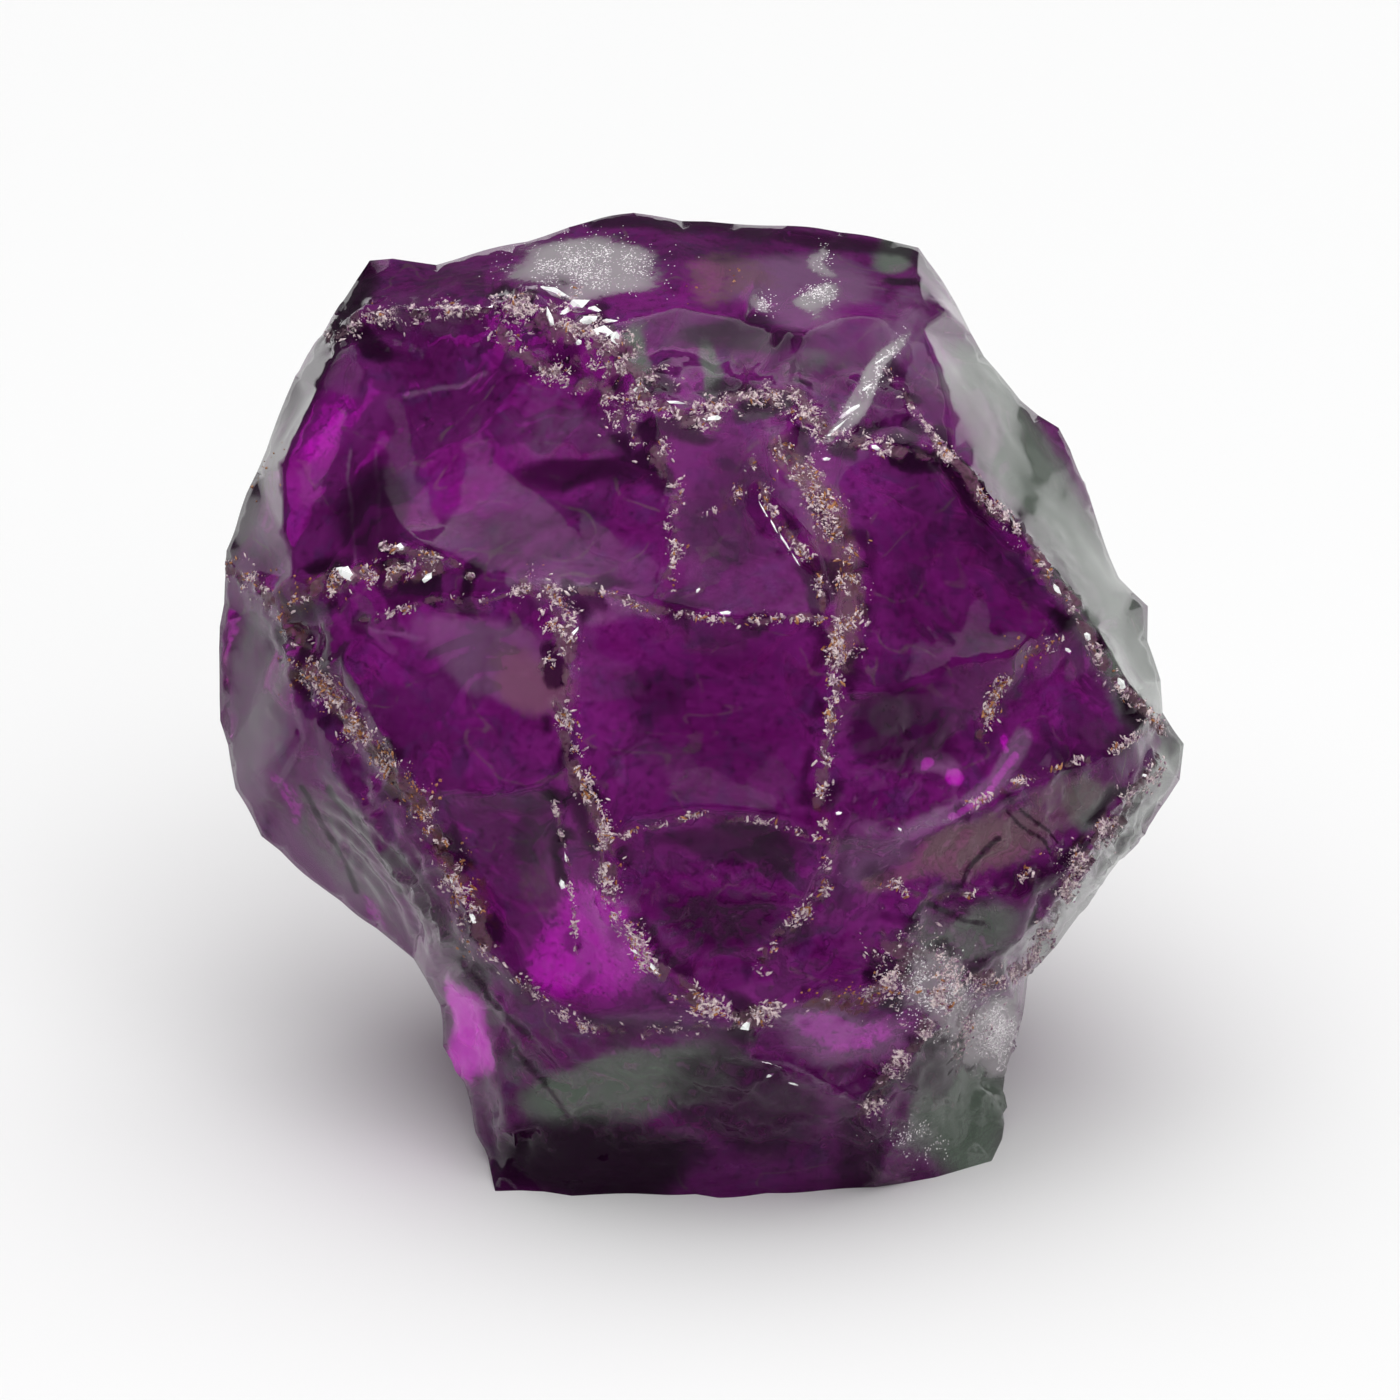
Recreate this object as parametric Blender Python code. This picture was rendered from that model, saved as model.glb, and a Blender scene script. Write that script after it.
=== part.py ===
"""Rough garnet: one broken lump of purple garnet that stands on its broken foot.

The lump is drawn from its front, as a net of ridges. In the drawing, x runs right, y runs up and z runs
towards the viewer, who looks down on the stone by LOOK_DOWN. Two shells, one in front and one behind, share
the rim. Between its ridges each fracture face is a sheet that is hollowed and rippled like broken glass.
"""

import math
import random

import bmesh
import bpy
import numpy as np
from mathutils import Matrix, Vector, geometry, kdtree, noise

# Driving dimensions. The net below is drawn for a lump of DRAWN_WIDTH.
MM = 0.001
LUMP_WIDTH = 24.3 * MM
DRAWN_WIDTH = 24.3
LOOK_DOWN = math.radians(25)
FOOT_DEPTH = 2.0  # how far the foot's front edge stands in front of the rim's plane
ON_FOOT = 0.001  # a point this close to the foot's plane is on the foot

# Fracture faces, in millimetres of the drawing
FACE_STEP = 0.62  # spacing of the points on a face and along a ridge
FACE_CLEAR = 0.36  # least distance from a point on a face to a ridge
HOLLOW_SHARE = 0.10  # depth of the deepest hollow in a face, as a share of the face's size
LEAST_HOLLOW = 0.15  # the shallowest hollow, as a share of the deepest
RIPPLE_HEIGHT = 0.05
RIPPLE_LENGTH = 2.3
WANDER = 0.30  # how far a ridge wanders over WANDER_LENGTH
WANDER_LENGTH = 4.0
RAGGED = 0.13  # how far a ridge is ragged over RAGGED_LENGTH
RAGGED_LENGTH = 1.1
SEED = 11

# Meshing
ONE_POINT = 1e-5  # points of the drawing closer than this are one point
WELD = 1e-4  # points of the two shells closer than this are joined
INSIDE = 1  # the kind of triangulation that keeps only what lies inside the outline


def on_foot(x, y):
    """A point of the drawing that lies in the plane of the foot."""
    return (x, y, FOOT_DEPTH - y / math.tan(LOOK_DOWN))


def rests(point):
    """Whether a point of the drawing is on the foot."""
    return abs(on_foot(point.x, point.y)[2] - point.z) < ON_FOOT


# The rim: the outline seen from the front, clockwise from the left end of the crown
RIM = {
    "crown": [
        (-8.3, 23.3, -1.5),
        (-6.75, 23.3, -1.8),
        (-4.5, 23.75, -2.0),
        (-2.35, 24.5, -2.4),
        (-1.25, 24.5, -2.4),
        (1.5, 24.1, -2.2),
        (5.45, 23.8, -2.4),
    ],
    "right_shoulder": [(6.1, 23.0, -2.2), (6.55, 22.3, -2.2), (6.9, 21.6, -2.0), (8.05, 19.9, -2.2)],
    "right_flank": [
        (8.9, 19.05, -2.2),
        (9.6, 17.6, -2.0),
        (10.0, 16.4, -2.0),
        (10.6, 15.2, -1.8),
        (11.25, 14.5, -1.8),
        (11.4, 13.6, -1.8),
        (11.65, 12.6, -1.4),
        (11.6, 11.9, 0.2),
    ],
    "right_corner": [(12.2, 11.1, -0.6), (12.1, 10.25, -1.0)],
    "right_haunch": [
        (11.25, 9.0, -1.2),
        (10.45, 8.2, -1.2),
        (9.6, 7.0, -1.4),
        (8.9, 6.1, -1.6),
        (8.2, 5.25, -1.2),
    ],
    "foot_right": [(8.2, 4.5, -1.6), (7.9, 3.4, -1.6), (7.7, 2.4, -1.4), on_foot(7.6, 1.4)],
    "foot_front": [
        on_foot(7.1, 0.75),
        on_foot(5.75, 0.3),
        on_foot(4.25, 0.1),
        on_foot(1.0, 0.0),
        on_foot(-2.5, 0.05),
        on_foot(-5.1, 0.0),
    ],
    "foot_left": [
        (-5.25, 0.75, 0.9),
        (-5.65, 1.55, 0.5),
        (-5.95, 2.75, 0.2),
        (-6.45, 3.5, 0.0),
        (-6.6, 4.6, -0.2),
    ],
    "left_haunch": [(-7.2, 5.8, -0.3), (-8.1, 6.5, -0.4), (-9.5, 7.6, -0.6), (-11.05, 8.8, -0.8)],
    "left_flank": [
        (-11.8, 10.1, -1.0),
        (-12.0, 12.4, -1.0),
        (-12.05, 15.9, -1.2),
        (-11.5, 17.4, -1.2),
        (-10.6, 19.25, -1.3),
        (-9.75, 21.0, -1.4),
        (-8.9, 22.4, -1.5),
    ],
}

# Ridges of the front. A pair such as ("brow", 5) is that point of an earlier ridge or of the rim.
FRONT_RIDGES = {
    "brow": [
        ("left_flank", 5),
        (-9.0, 21.6, 0.5),
        (-7.6, 22.0, 2.0),
        (-5.75, 22.1, 3.0),
        (-4.0, 22.4, 3.4),
        (-2.75, 21.6, 4.4),
        (-1.5, 19.9, 5.6),
        (0.0, 19.1, 6.0),
        (1.1, 20.0, 5.5),
        (2.5, 19.5, 5.6),
        (3.25, 18.9, 5.8),
        (4.6, 18.75, 5.6),
        (6.1, 18.4, 5.2),
    ],
    "right_edge": [
        ("brow", 12),
        (7.5, 16.9, 4.9),
        (8.6, 15.5, 4.6),
        (9.25, 14.6, 4.2),
        (10.25, 12.9, 3.2),
        (11.0, 12.0, 2.2),
        ("right_flank", 7),
    ],
    "streak": [
        ("brow", 10),
        (4.4, 20.3, 4.6),
        (5.4, 21.5, 2.8),
        (6.0, 22.1, 0.8),
        ("right_shoulder", 1),
    ],
    "temple_right": [("streak", 2), (6.0, 19.9, 4.2), ("brow", 12)],
    "crease": [
        ("brow", 5),
        (-0.5, 22.1, 3.0),
        (1.0, 21.6, 3.6),
        (2.5, 21.25, 3.9),
        (3.75, 21.6, 3.4),
        ("streak", 2),
    ],
    "crown_left": [("crown", 2), (-3.9, 23.0, 0.8), ("brow", 4)],
    "crown_middle": [("crown", 4), (-0.6, 23.4, 0.5), ("crease", 1)],
    "crown_right": [("crown", 5), (1.2, 22.9, 1.0), ("crease", 2)],
    "knob": [("crown", 6), (5.2, 22.9, 0.2), ("streak", 2)],
    "chute": [("crease", 1), (-0.8, 21.0, 4.0), ("brow", 6)],
    "spur": [("crease", 2), (0.9, 20.8, 4.4), ("brow", 8)],
    "groove": [("crease", 3), (2.2, 20.4, 4.6), ("brow", 9)],
    "spine": [
        ("brow", 8),
        (1.6, 18.4, 6.8),
        (1.7, 17.2, 7.5),
        (2.6, 16.2, 7.9),
        (3.3, 14.4, 8.1),
        (3.1, 12.4, 8.4),
        (2.9, 10.4, 8.2),
        (3.2, 9.0, 8.0),
    ],
    "spine_right": [("brow", 10), (3.2, 17.2, 7.0), (3.8, 15.8, 7.5), ("spine", 4)],
    "saddle": [
        ("left_flank", 2),
        (-10.9, 14.9, 1.4),
        (-10.0, 14.75, 2.4),
        (-8.9, 15.5, 3.4),
        (-7.5, 15.9, 4.4),
        (-6.75, 16.1, 5.0),
        (-5.6, 15.6, 5.8),
        (-3.5, 15.0, 7.2),
        (-1.25, 14.75, 8.1),
        (0.5, 14.4, 8.3),
        ("spine", 4),
    ],
    "temple_left": [
        ("brow", 1),
        (-9.25, 20.6, 1.5),
        (-10.25, 18.1, 1.8),
        (-10.3, 16.5, 2.1),
        ("saddle", 2),
    ],
    "eyelid": [("saddle", 3), (-7.9, 14.6, 4.4), (-5.5, 14.9, 6.1), ("saddle", 7)],
    "nose": [("brow", 6), (-0.9, 18.1, 6.6), (-0.6, 16.0, 7.7), ("saddle", 8)],
    "left_keel": [
        ("saddle", 2),
        (-9.25, 13.6, 3.2),
        (-8.25, 12.0, 4.4),
        (-7.0, 9.9, 5.2),
        (-6.0, 7.9, 5.4),
        (-5.5, 6.6, 5.4),
        (-4.25, 5.25, 5.4),
        (-2.75, 4.4, 5.6),
    ],
    "lip": [
        ("left_keel", 7),
        (-0.2, 4.7, 6.6),
        (1.0, 4.4, 6.4),
        (2.4, 4.6, 6.4),
        (3.75, 5.0, 6.2),
        (5.0, 5.5, 5.9),
        (6.5, 5.1, 5.0),
        (7.6, 4.9, 3.0),
        ("right_haunch", 4),
    ],
    "centre_left": [
        ("saddle", 7),
        (-3.3, 13.6, 7.8),
        (-3.4, 12.2, 8.1),
        (-3.0, 10.8, 8.1),
        (-2.3, 9.3, 7.9),
        (-2.4, 7.4, 7.6),
        (-1.3, 5.9, 7.1),
        ("lip", 1),
    ],
    "sill_left": [("left_keel", 3), (-5.4, 10.1, 6.7), (-3.9, 10.2, 7.7), ("centre_left", 3)],
    "sill": [("centre_left", 4), (0.0, 9.6, 8.4), (1.6, 9.4, 8.4), ("spine", 7)],
    "tread": [("centre_left", 5), (-0.6, 7.2, 7.3), (1.2, 7.2, 7.4), (2.3, 7.2, 7.4), ("spine", 7)],
    "riser": [("tread", 3), (1.6, 6.0, 6.9), ("lip", 2)],
    "cheek": [
        ("spine", 5),
        (4.6, 12.5, 7.8),
        (6.2, 13.2, 6.9),
        (7.6, 13.5, 6.0),
        ("right_edge", 3),
    ],
    "bar_top": [
        ("spine", 7),
        (5.0, 8.9, 7.2),
        (6.6, 9.5, 6.5),
        (8.4, 10.2, 5.5),
        (10.0, 10.9, 4.0),
        ("right_edge", 5),
    ],
    "bar_bottom": [
        ("bar_top", 1),
        (5.6, 7.9, 6.6),
        (7.5, 7.5, 5.6),
        (9.2, 8.2, 4.4),
        (10.4, 9.6, 3.3),
        (11.2, 10.7, 2.0),
        ("right_corner", 0),
    ],
    "haunch_edge": [("bar_bottom", 3), (8.4, 6.8, 4.2), (7.4, 5.9, 4.6), ("lip", 6)],
    "gusset": [("bar_bottom", 1), (5.0, 6.7, 6.6), ("lip", 5)],
    "panel": [
        ("saddle", 1),
        (-10.1, 12.9, 2.2),
        (-10.0, 11.4, 2.2),
        (-10.7, 10.6, 1.2),
        ("left_flank", 0),
    ],
    "scoop": [
        ("panel", 3),
        (-9.4, 10.9, 2.8),
        (-8.5, 9.6, 3.6),
        (-7.6, 7.9, 3.5),
        (-7.1, 6.7, 2.6),
        ("left_haunch", 0),
    ],
    "arch": [
        ("foot_left", 1),
        (-4.6, 1.7, 2.7),
        (-2.5, 2.2, 3.6),
        (-0.5, 2.8, 4.6),
        (1.2, 3.5, 5.6),
        (2.8, 3.0, 5.2),
        (3.9, 2.2, 4.2),
        (4.4, 1.2, 3.2),
        ("foot_front", 2),
    ],
    "drape": [
        ("left_keel", 2),
        (-7.6, 9.0, 4.2),
        (-6.6, 7.0, 4.2),
        (-5.7, 5.2, 3.9),
        (-5.0, 3.6, 3.2),
        ("arch", 1),
    ],
    "hem": [("left_keel", 6), (-4.7, 4.4, 4.4), ("drape", 4)],
    "keystone": [("arch", 4), ("lip", 2)],
    "foot_lump": [("arch", 6), (5.0, 3.4, 4.6), (6.2, 4.2, 4.4), ("lip", 6)],
}

# Ridges of the back, seen through the stone from the front
BACK_RIDGES = {
    "heel": [
        ("foot_right", 3),
        on_foot(7.3, 3.0),
        on_foot(6.2, 4.4),
        on_foot(3.5, 4.8),
        on_foot(0.5, 5.1),
        on_foot(-2.5, 4.8),
        on_foot(-4.6, 4.3),
        on_foot(-5.5, 2.4),
        ("foot_front", 5),
    ],
    "back_edge": [
        (-7.6, 20.6, -5.0),
        (-4.6, 22.0, -6.0),
        (-0.5, 22.6, -6.4),
        (3.4, 22.0, -6.2),
        (6.2, 19.6, -6.4),
        (8.2, 16.6, -6.8),
        (9.8, 13.2, -6.0),
        (10.0, 10.6, -5.4),
        (8.6, 8.0, -6.2),
        (6.9, 6.2, -7.4),
        (3.0, 6.6, -8.8),
        (-1.5, 6.8, -8.6),
        (-5.4, 6.6, -7.2),
        (-8.2, 8.6, -5.6),
        (-10.2, 11.0, -4.8),
        (-10.4, 14.8, -5.0),
        (-9.6, 17.8, -5.0),
        ("back_edge", 0),
    ],
    "nape": [("back_edge", 2), (-1.8, 19.4, -7.8), (-3.6, 16.6, -9.0), (-6.2, 12.4, -7.9), ("back_edge", 14)],
    "back_spine": [("nape", 2), (0.2, 15.6, -9.2), (3.2, 15.4, -9.4), (4.8, 17.8, -8.0), ("back_edge", 4)],
    "back_keel": [
        ("back_spine", 2),
        (1.6, 13.6, -9.7),
        (-1.0, 11.6, -9.9),
        (1.2, 9.0, -9.6),
        ("back_edge", 10),
    ],
    "back_hip": [("back_spine", 2), (5.6, 11.6, -8.6), (7.8, 11.2, -7.2), ("back_edge", 7)],
    "back_brace": [("back_keel", 2), (-3.4, 9.2, -8.8), ("back_edge", 12)],
    "shoulder_seam": [("nape", 2), (-5.8, 18.8, -7.2), ("back_edge", 0)],
    "crown_seam": [("crown", 3), (-1.4, 23.6, -4.4), ("back_edge", 2)],
    "left_seam": [("crown", 0), ("back_edge", 0)],
    "right_seam": [("crown", 6), (4.6, 23.0, -4.4), ("back_edge", 3)],
    "shoulder_back": [("right_shoulder", 3), (7.2, 19.9, -4.4), ("back_edge", 4)],
    "flank_back_high": [("right_flank", 2), (9.2, 16.7, -4.4), ("back_edge", 5)],
    "flank_back_low": [("right_flank", 6), ("back_edge", 6)],
    "corner_back": [("right_corner", 1), (11.2, 10.6, -3.4), ("back_edge", 7)],
    "haunch_back": [("right_haunch", 2), ("back_edge", 8)],
    "heel_right": [("heel", 2), ("back_edge", 9)],
    "heel_middle": [("heel", 4), ("back_edge", 11)],
    "heel_left": [("heel", 6), ("back_edge", 12)],
    "haunch_left_back": [("left_haunch", 1), (-6.8, 6.6, -4.0), ("back_edge", 12)],
    "flank_left_low": [("left_haunch", 3), ("back_edge", 13)],
    "flank_left_middle": [("left_flank", 1), (-11.2, 12.0, -3.0), ("back_edge", 14)],
    "flank_left_high": [("left_flank", 3), ("back_edge", 16)],
}


def resolved(entry, known):
    """An entry of a ridge as a point: the point itself, or one of a ridge that is known by now."""
    return Vector(known[entry[0]][entry[1]]) if isinstance(entry[0], str) else Vector(entry)


def divided(line):
    """The points of a line with others between them, about FACE_STEP apart as seen from the front."""
    points = [line[0]]
    for start, end in zip(line, line[1:]):
        steps = max(1, round((end - start).to_2d().length / FACE_STEP))
        points += [start.lerp(end, step / steps) for step in range(1, steps + 1)]
    return points


def broken(point):
    """The point moved as a broken edge wanders. Equal points move alike, so ridges still meet."""
    moved = point + WANDER * noise.noise_vector(point / WANDER_LENGTH)
    moved += RAGGED * noise.noise_vector(point / RAGGED_LENGTH)
    return Vector(on_foot(moved.x, moved.y)) if rests(point) else moved


def rim_points():
    """The corners of the rim by stretch, and the whole rim as one broken loop."""
    corners = {name: [Vector(p) for p in stretch] for name, stretch in RIM.items()}
    loop = [p for stretch in corners.values() for p in stretch]
    loop = divided(loop + loop[:1])[:-1]
    return corners, [broken(p) for p in loop]


def ridge_lines(ridges, corners):
    """The ridges as broken lines."""
    known = dict(corners)
    lines = []
    for name, entries in ridges.items():
        known[name] = []
        for entry in entries:
            known[name].append(resolved(entry, known))
        lines.append([broken(p) for p in divided(known[name])])
    return lines


def grid_inside(rim, fixed):
    """Points on a triangular grid inside the rim that keep clear of the fixed points."""
    tree = kdtree.KDTree(len(fixed))
    for index, point in enumerate(fixed):
        tree.insert((point.x, point.y, 0), index)
    tree.balance()
    low = Vector((min(p.x for p in rim), min(p.y for p in rim)))
    high = Vector((max(p.x for p in rim), max(p.y for p in rim)))
    row_step = FACE_STEP * math.sqrt(3) / 2
    found = []
    for row in range(int((high.y - low.y) / row_step) + 1):
        shift = FACE_STEP / 2 * (row % 2)
        for column in range(int((high.x - low.x) / FACE_STEP) + 1):
            spot = Vector((low.x + column * FACE_STEP + shift, low.y + row * row_step, 0))
            _, nearest, distance = tree.find(spot)
            if distance > FACE_CLEAR:
                found.append(Vector((spot.x, spot.y, fixed[nearest].z)))
    return found


def net(rim, lines):
    """A mesh of the drawing between the rim and its ridges, with the edges that are ridges."""
    points = list(rim)
    edges = []
    for line in lines:
        first = len(points)
        points += line
        edges += [(first + i, first + i + 1) for i in range(len(line) - 1)]
    points += grid_inside(rim, list(points))
    flat = [p.to_2d() for p in points]
    outline = list(range(len(rim)))
    drawn = geometry.delaunay_2d_cdt(flat, edges, [outline], INSIDE, ONE_POINT)
    places, sides, faces, came_from, kept, _ = drawn
    bm = bmesh.new()
    for place, origin in zip(places, came_from):
        depth = points[origin[0]].z if origin else 0.0
        bm.verts.new((place.x, place.y, depth))
    bm.verts.ensure_lookup_table()
    for face in faces:
        bm.faces.new([bm.verts[i] for i in face])
    ridges = set()
    for (a, b), origin in zip(sides, kept):
        edge = bm.edges.get((bm.verts[a], bm.verts[b]))
        if edge is not None and (origin or edge.is_boundary):
            ridges.add(edge)
    outside = [vert for vert in bm.verts if not vert.link_faces]
    bmesh.ops.delete(bm, geom=outside, context="VERTS")
    return bm, ridges


def fracture_faces(bm, ridges):
    """The mesh's faces in groups, each bounded by ridges."""
    left = set(bm.faces)
    groups = []
    while left:
        start = min(left, key=lambda face: face.index)
        left.discard(start)
        group, waiting = [], [start]
        while waiting:
            face = waiting.pop()
            group.append(face)
            for edge in face.edges:
                if edge not in ridges:
                    beyond = [other for other in edge.link_faces if other in left]
                    left.difference_update(beyond)
                    waiting += beyond
        groups.append(group)
    return groups


def stretched(bm, free):
    """The depth of a sheet stretched between the ridges, and of one blown up by an even pressure."""
    index = {vert: i for i, vert in enumerate(free)}
    spring = np.zeros((len(free), len(free)))
    load = np.zeros((len(free), 2))
    load[:, 1] = 1.0
    for vert, i in index.items():
        for edge in vert.link_edges:
            other = edge.other_vert(vert)
            spring[i, i] += 1
            if other in index:
                spring[i, index[other]] -= 1
            else:
                load[i, 0] += other.co.z
    return np.linalg.solve(spring, load)


def break_faces(bm, ridges, outward, chance):
    """Gives each fracture face its hollow and its ripples, which spread from a point on its edge."""
    bm.faces.index_update()
    pinned = {vert for edge in ridges for vert in edge.verts}
    free = [vert for vert in bm.verts if vert not in pinned]
    solved = stretched(bm, free)
    swell = dict(zip(free, solved[:, 1]))
    for vert, depth in zip(free, solved[:, 0]):
        vert.co.z = depth
    for group in fracture_faces(bm, ridges):
        inner = sorted({v for f in group for v in f.verts} - pinned, key=lambda v: v.co.to_tuple())
        edge = sorted({v for f in group for v in f.verts} & pinned, key=lambda v: v.co.to_tuple())
        strike = chance.choice(edge).co.copy()
        bend = chance.uniform(LEAST_HOLLOW, 1.0)
        if not inner:
            continue
        if all(rests(vert.co) for vert in edge):
            for vert in inner:
                vert.co = on_foot(vert.co.x, vert.co.y)
            continue
        highest = max(swell[v] for v in inner)
        size = math.sqrt(sum(face.calc_area() for face in group))
        for vert in inner:
            share = swell[vert] / highest
            wave = math.sin(math.tau * (vert.co - strike).length / RIPPLE_LENGTH)
            depth = bend * HOLLOW_SHARE * size * share - RIPPLE_HEIGHT * wave * math.sqrt(share)
            vert.co.z -= outward * depth


def lump():
    """The whole stone as one closed mesh in metres, standing on its foot with the origin below its middle."""
    chance = random.Random(SEED)
    noise.seed_set(SEED)
    corners, rim = rim_points()
    whole = bmesh.new()
    for ridges, outward in ((FRONT_RIDGES, 1), (BACK_RIDGES, -1)):
        shell, creases = net(rim, ridge_lines(ridges, corners))
        break_faces(shell, creases, outward, chance)
        if outward < 0:
            bmesh.ops.reverse_faces(shell, faces=shell.faces)
        mesh = bpy.data.meshes.new("shell")
        shell.to_mesh(mesh)
        shell.free()
        whole.from_mesh(mesh)
        bpy.data.meshes.remove(mesh)
    bmesh.ops.remove_doubles(whole, verts=whole.verts, dist=WELD)
    upright = Matrix.Rotation(math.pi / 2 - LOOK_DOWN, 4, "X")
    size = Matrix.Scale(LUMP_WIDTH / DRAWN_WIDTH, 4)
    bmesh.ops.transform(whole, matrix=size @ upright, verts=whole.verts)
    level = FOOT_DEPTH * math.sin(LOOK_DOWN) * LUMP_WIDTH / DRAWN_WIDTH
    for vert in whole.verts:
        if abs(vert.co.z - level) < ON_FOOT * MM:
            vert.co.z = level
    low = Vector(min(v.co[axis] for v in whole.verts) for axis in range(3))
    high = Vector(max(v.co[axis] for v in whole.verts) for axis in range(3))
    middle = (low + high) / 2
    bmesh.ops.translate(whole, vec=(-middle.x, -middle.y, -low.z), verts=whole.verts)
    bmesh.ops.recalc_face_normals(whole, faces=whole.faces)
    return whole


def garnet_finish():
    """Deep purple garnet, clear but dark."""
    finish = bpy.data.materials.new("garnet")
    finish.use_nodes = True
    shader = finish.node_tree.nodes["Principled BSDF"]
    shader.inputs["Base Color"].default_value = (0.16, 0.016, 0.15, 1)
    shader.inputs["Roughness"].default_value = 0.12
    shader.inputs["Metallic"].default_value = 0.0
    shader.inputs["IOR"].default_value = 1.76
    shader.inputs["Transmission Weight"].default_value = 0.8
    return finish


def main():
    for old in list(bpy.data.objects):
        bpy.data.objects.remove(old)
    bm = lump()
    mesh = bpy.data.meshes.new("garnet")
    bm.to_mesh(mesh)
    bm.free()
    mesh.materials.append(garnet_finish())
    stone = bpy.data.objects.new("garnet", mesh)
    bpy.context.scene.collection.objects.link(stone)


main()
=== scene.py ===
"""Rough garnet: the finish of a broken lump of clear purple garnet, on a pale floor.

The stone's form comes from the frame. Its ridges are broken up finely, its fracture faces get ripples, and
grains of crushed garnet and rust are seated in the crushed places. Marks on the front, among them painted
glow, painted sheen and painted shade, are placed in millimetres of the front view, which is the drawing that
the stone was made from: x runs right and y runs up from the foot's front edge.
"""

import math
import random

import bmesh
import bpy
import numpy as np
from bpy.props import FloatProperty, FloatVectorProperty, IntProperty, PointerProperty
from mathutils import Matrix, Vector, kdtree, noise
from mathutils.bvhtree import BVHTree


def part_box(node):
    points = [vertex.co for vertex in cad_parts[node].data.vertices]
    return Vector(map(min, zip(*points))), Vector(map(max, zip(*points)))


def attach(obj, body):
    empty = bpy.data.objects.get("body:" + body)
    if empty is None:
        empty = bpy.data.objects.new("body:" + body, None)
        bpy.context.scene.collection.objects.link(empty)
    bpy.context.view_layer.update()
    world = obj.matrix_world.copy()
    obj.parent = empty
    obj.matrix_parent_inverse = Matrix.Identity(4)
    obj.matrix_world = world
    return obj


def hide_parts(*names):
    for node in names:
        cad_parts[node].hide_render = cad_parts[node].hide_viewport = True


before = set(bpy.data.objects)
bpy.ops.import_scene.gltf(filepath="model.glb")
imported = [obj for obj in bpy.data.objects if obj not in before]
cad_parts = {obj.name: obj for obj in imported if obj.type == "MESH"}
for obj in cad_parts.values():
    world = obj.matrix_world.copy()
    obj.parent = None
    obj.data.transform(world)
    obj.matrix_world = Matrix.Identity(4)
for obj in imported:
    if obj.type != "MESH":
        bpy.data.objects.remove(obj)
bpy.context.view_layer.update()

bl_info = {
    "name": "Rough garnet",
    "version": (1, 0, 0),
    "blender": (4, 5, 0),
    "location": "3D View > Sidebar > Garnet",
    "description": "Dresses a broken lump of clear purple garnet and lights it on a pale floor",
    "category": "Add Mesh",
}

MM = 0.001
SEED = 7

# The stone's mesh
WELD = 0.001 * MM
RIDGE_STEP = 0.15 * MM
SHARP_BEND = math.radians(24)
# It is divided once more where its detail, from 0 to 1, is above each of these
DIVIDE_ABOVE = (0.3, 0.7)
# Higher ripples and narrower strokes than these, in millimetres, are divided too
HIGH_RIPPLE = 0.02
NARROW_STROKE = 0.2
# The foot's face stays flat, and above it the relief fades in over this height
FOOT_RIM = 0.3 * MM

# The front view
LOOK_DOWN = math.radians(25)
RIGHT = Vector((1, 0, 0))
UP = Vector((0, math.sin(LOOK_DOWN), math.cos(LOOK_DOWN)))
TOWARDS = Vector((0, -math.cos(LOOK_DOWN), math.sin(LOOK_DOWN)))
LEFTMOST = -12.05
FRAME_WIDTH = 35.0
FRAME_MIDDLE = (0.0, 12.37)
IN_FRONT = 50 * MM

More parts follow.
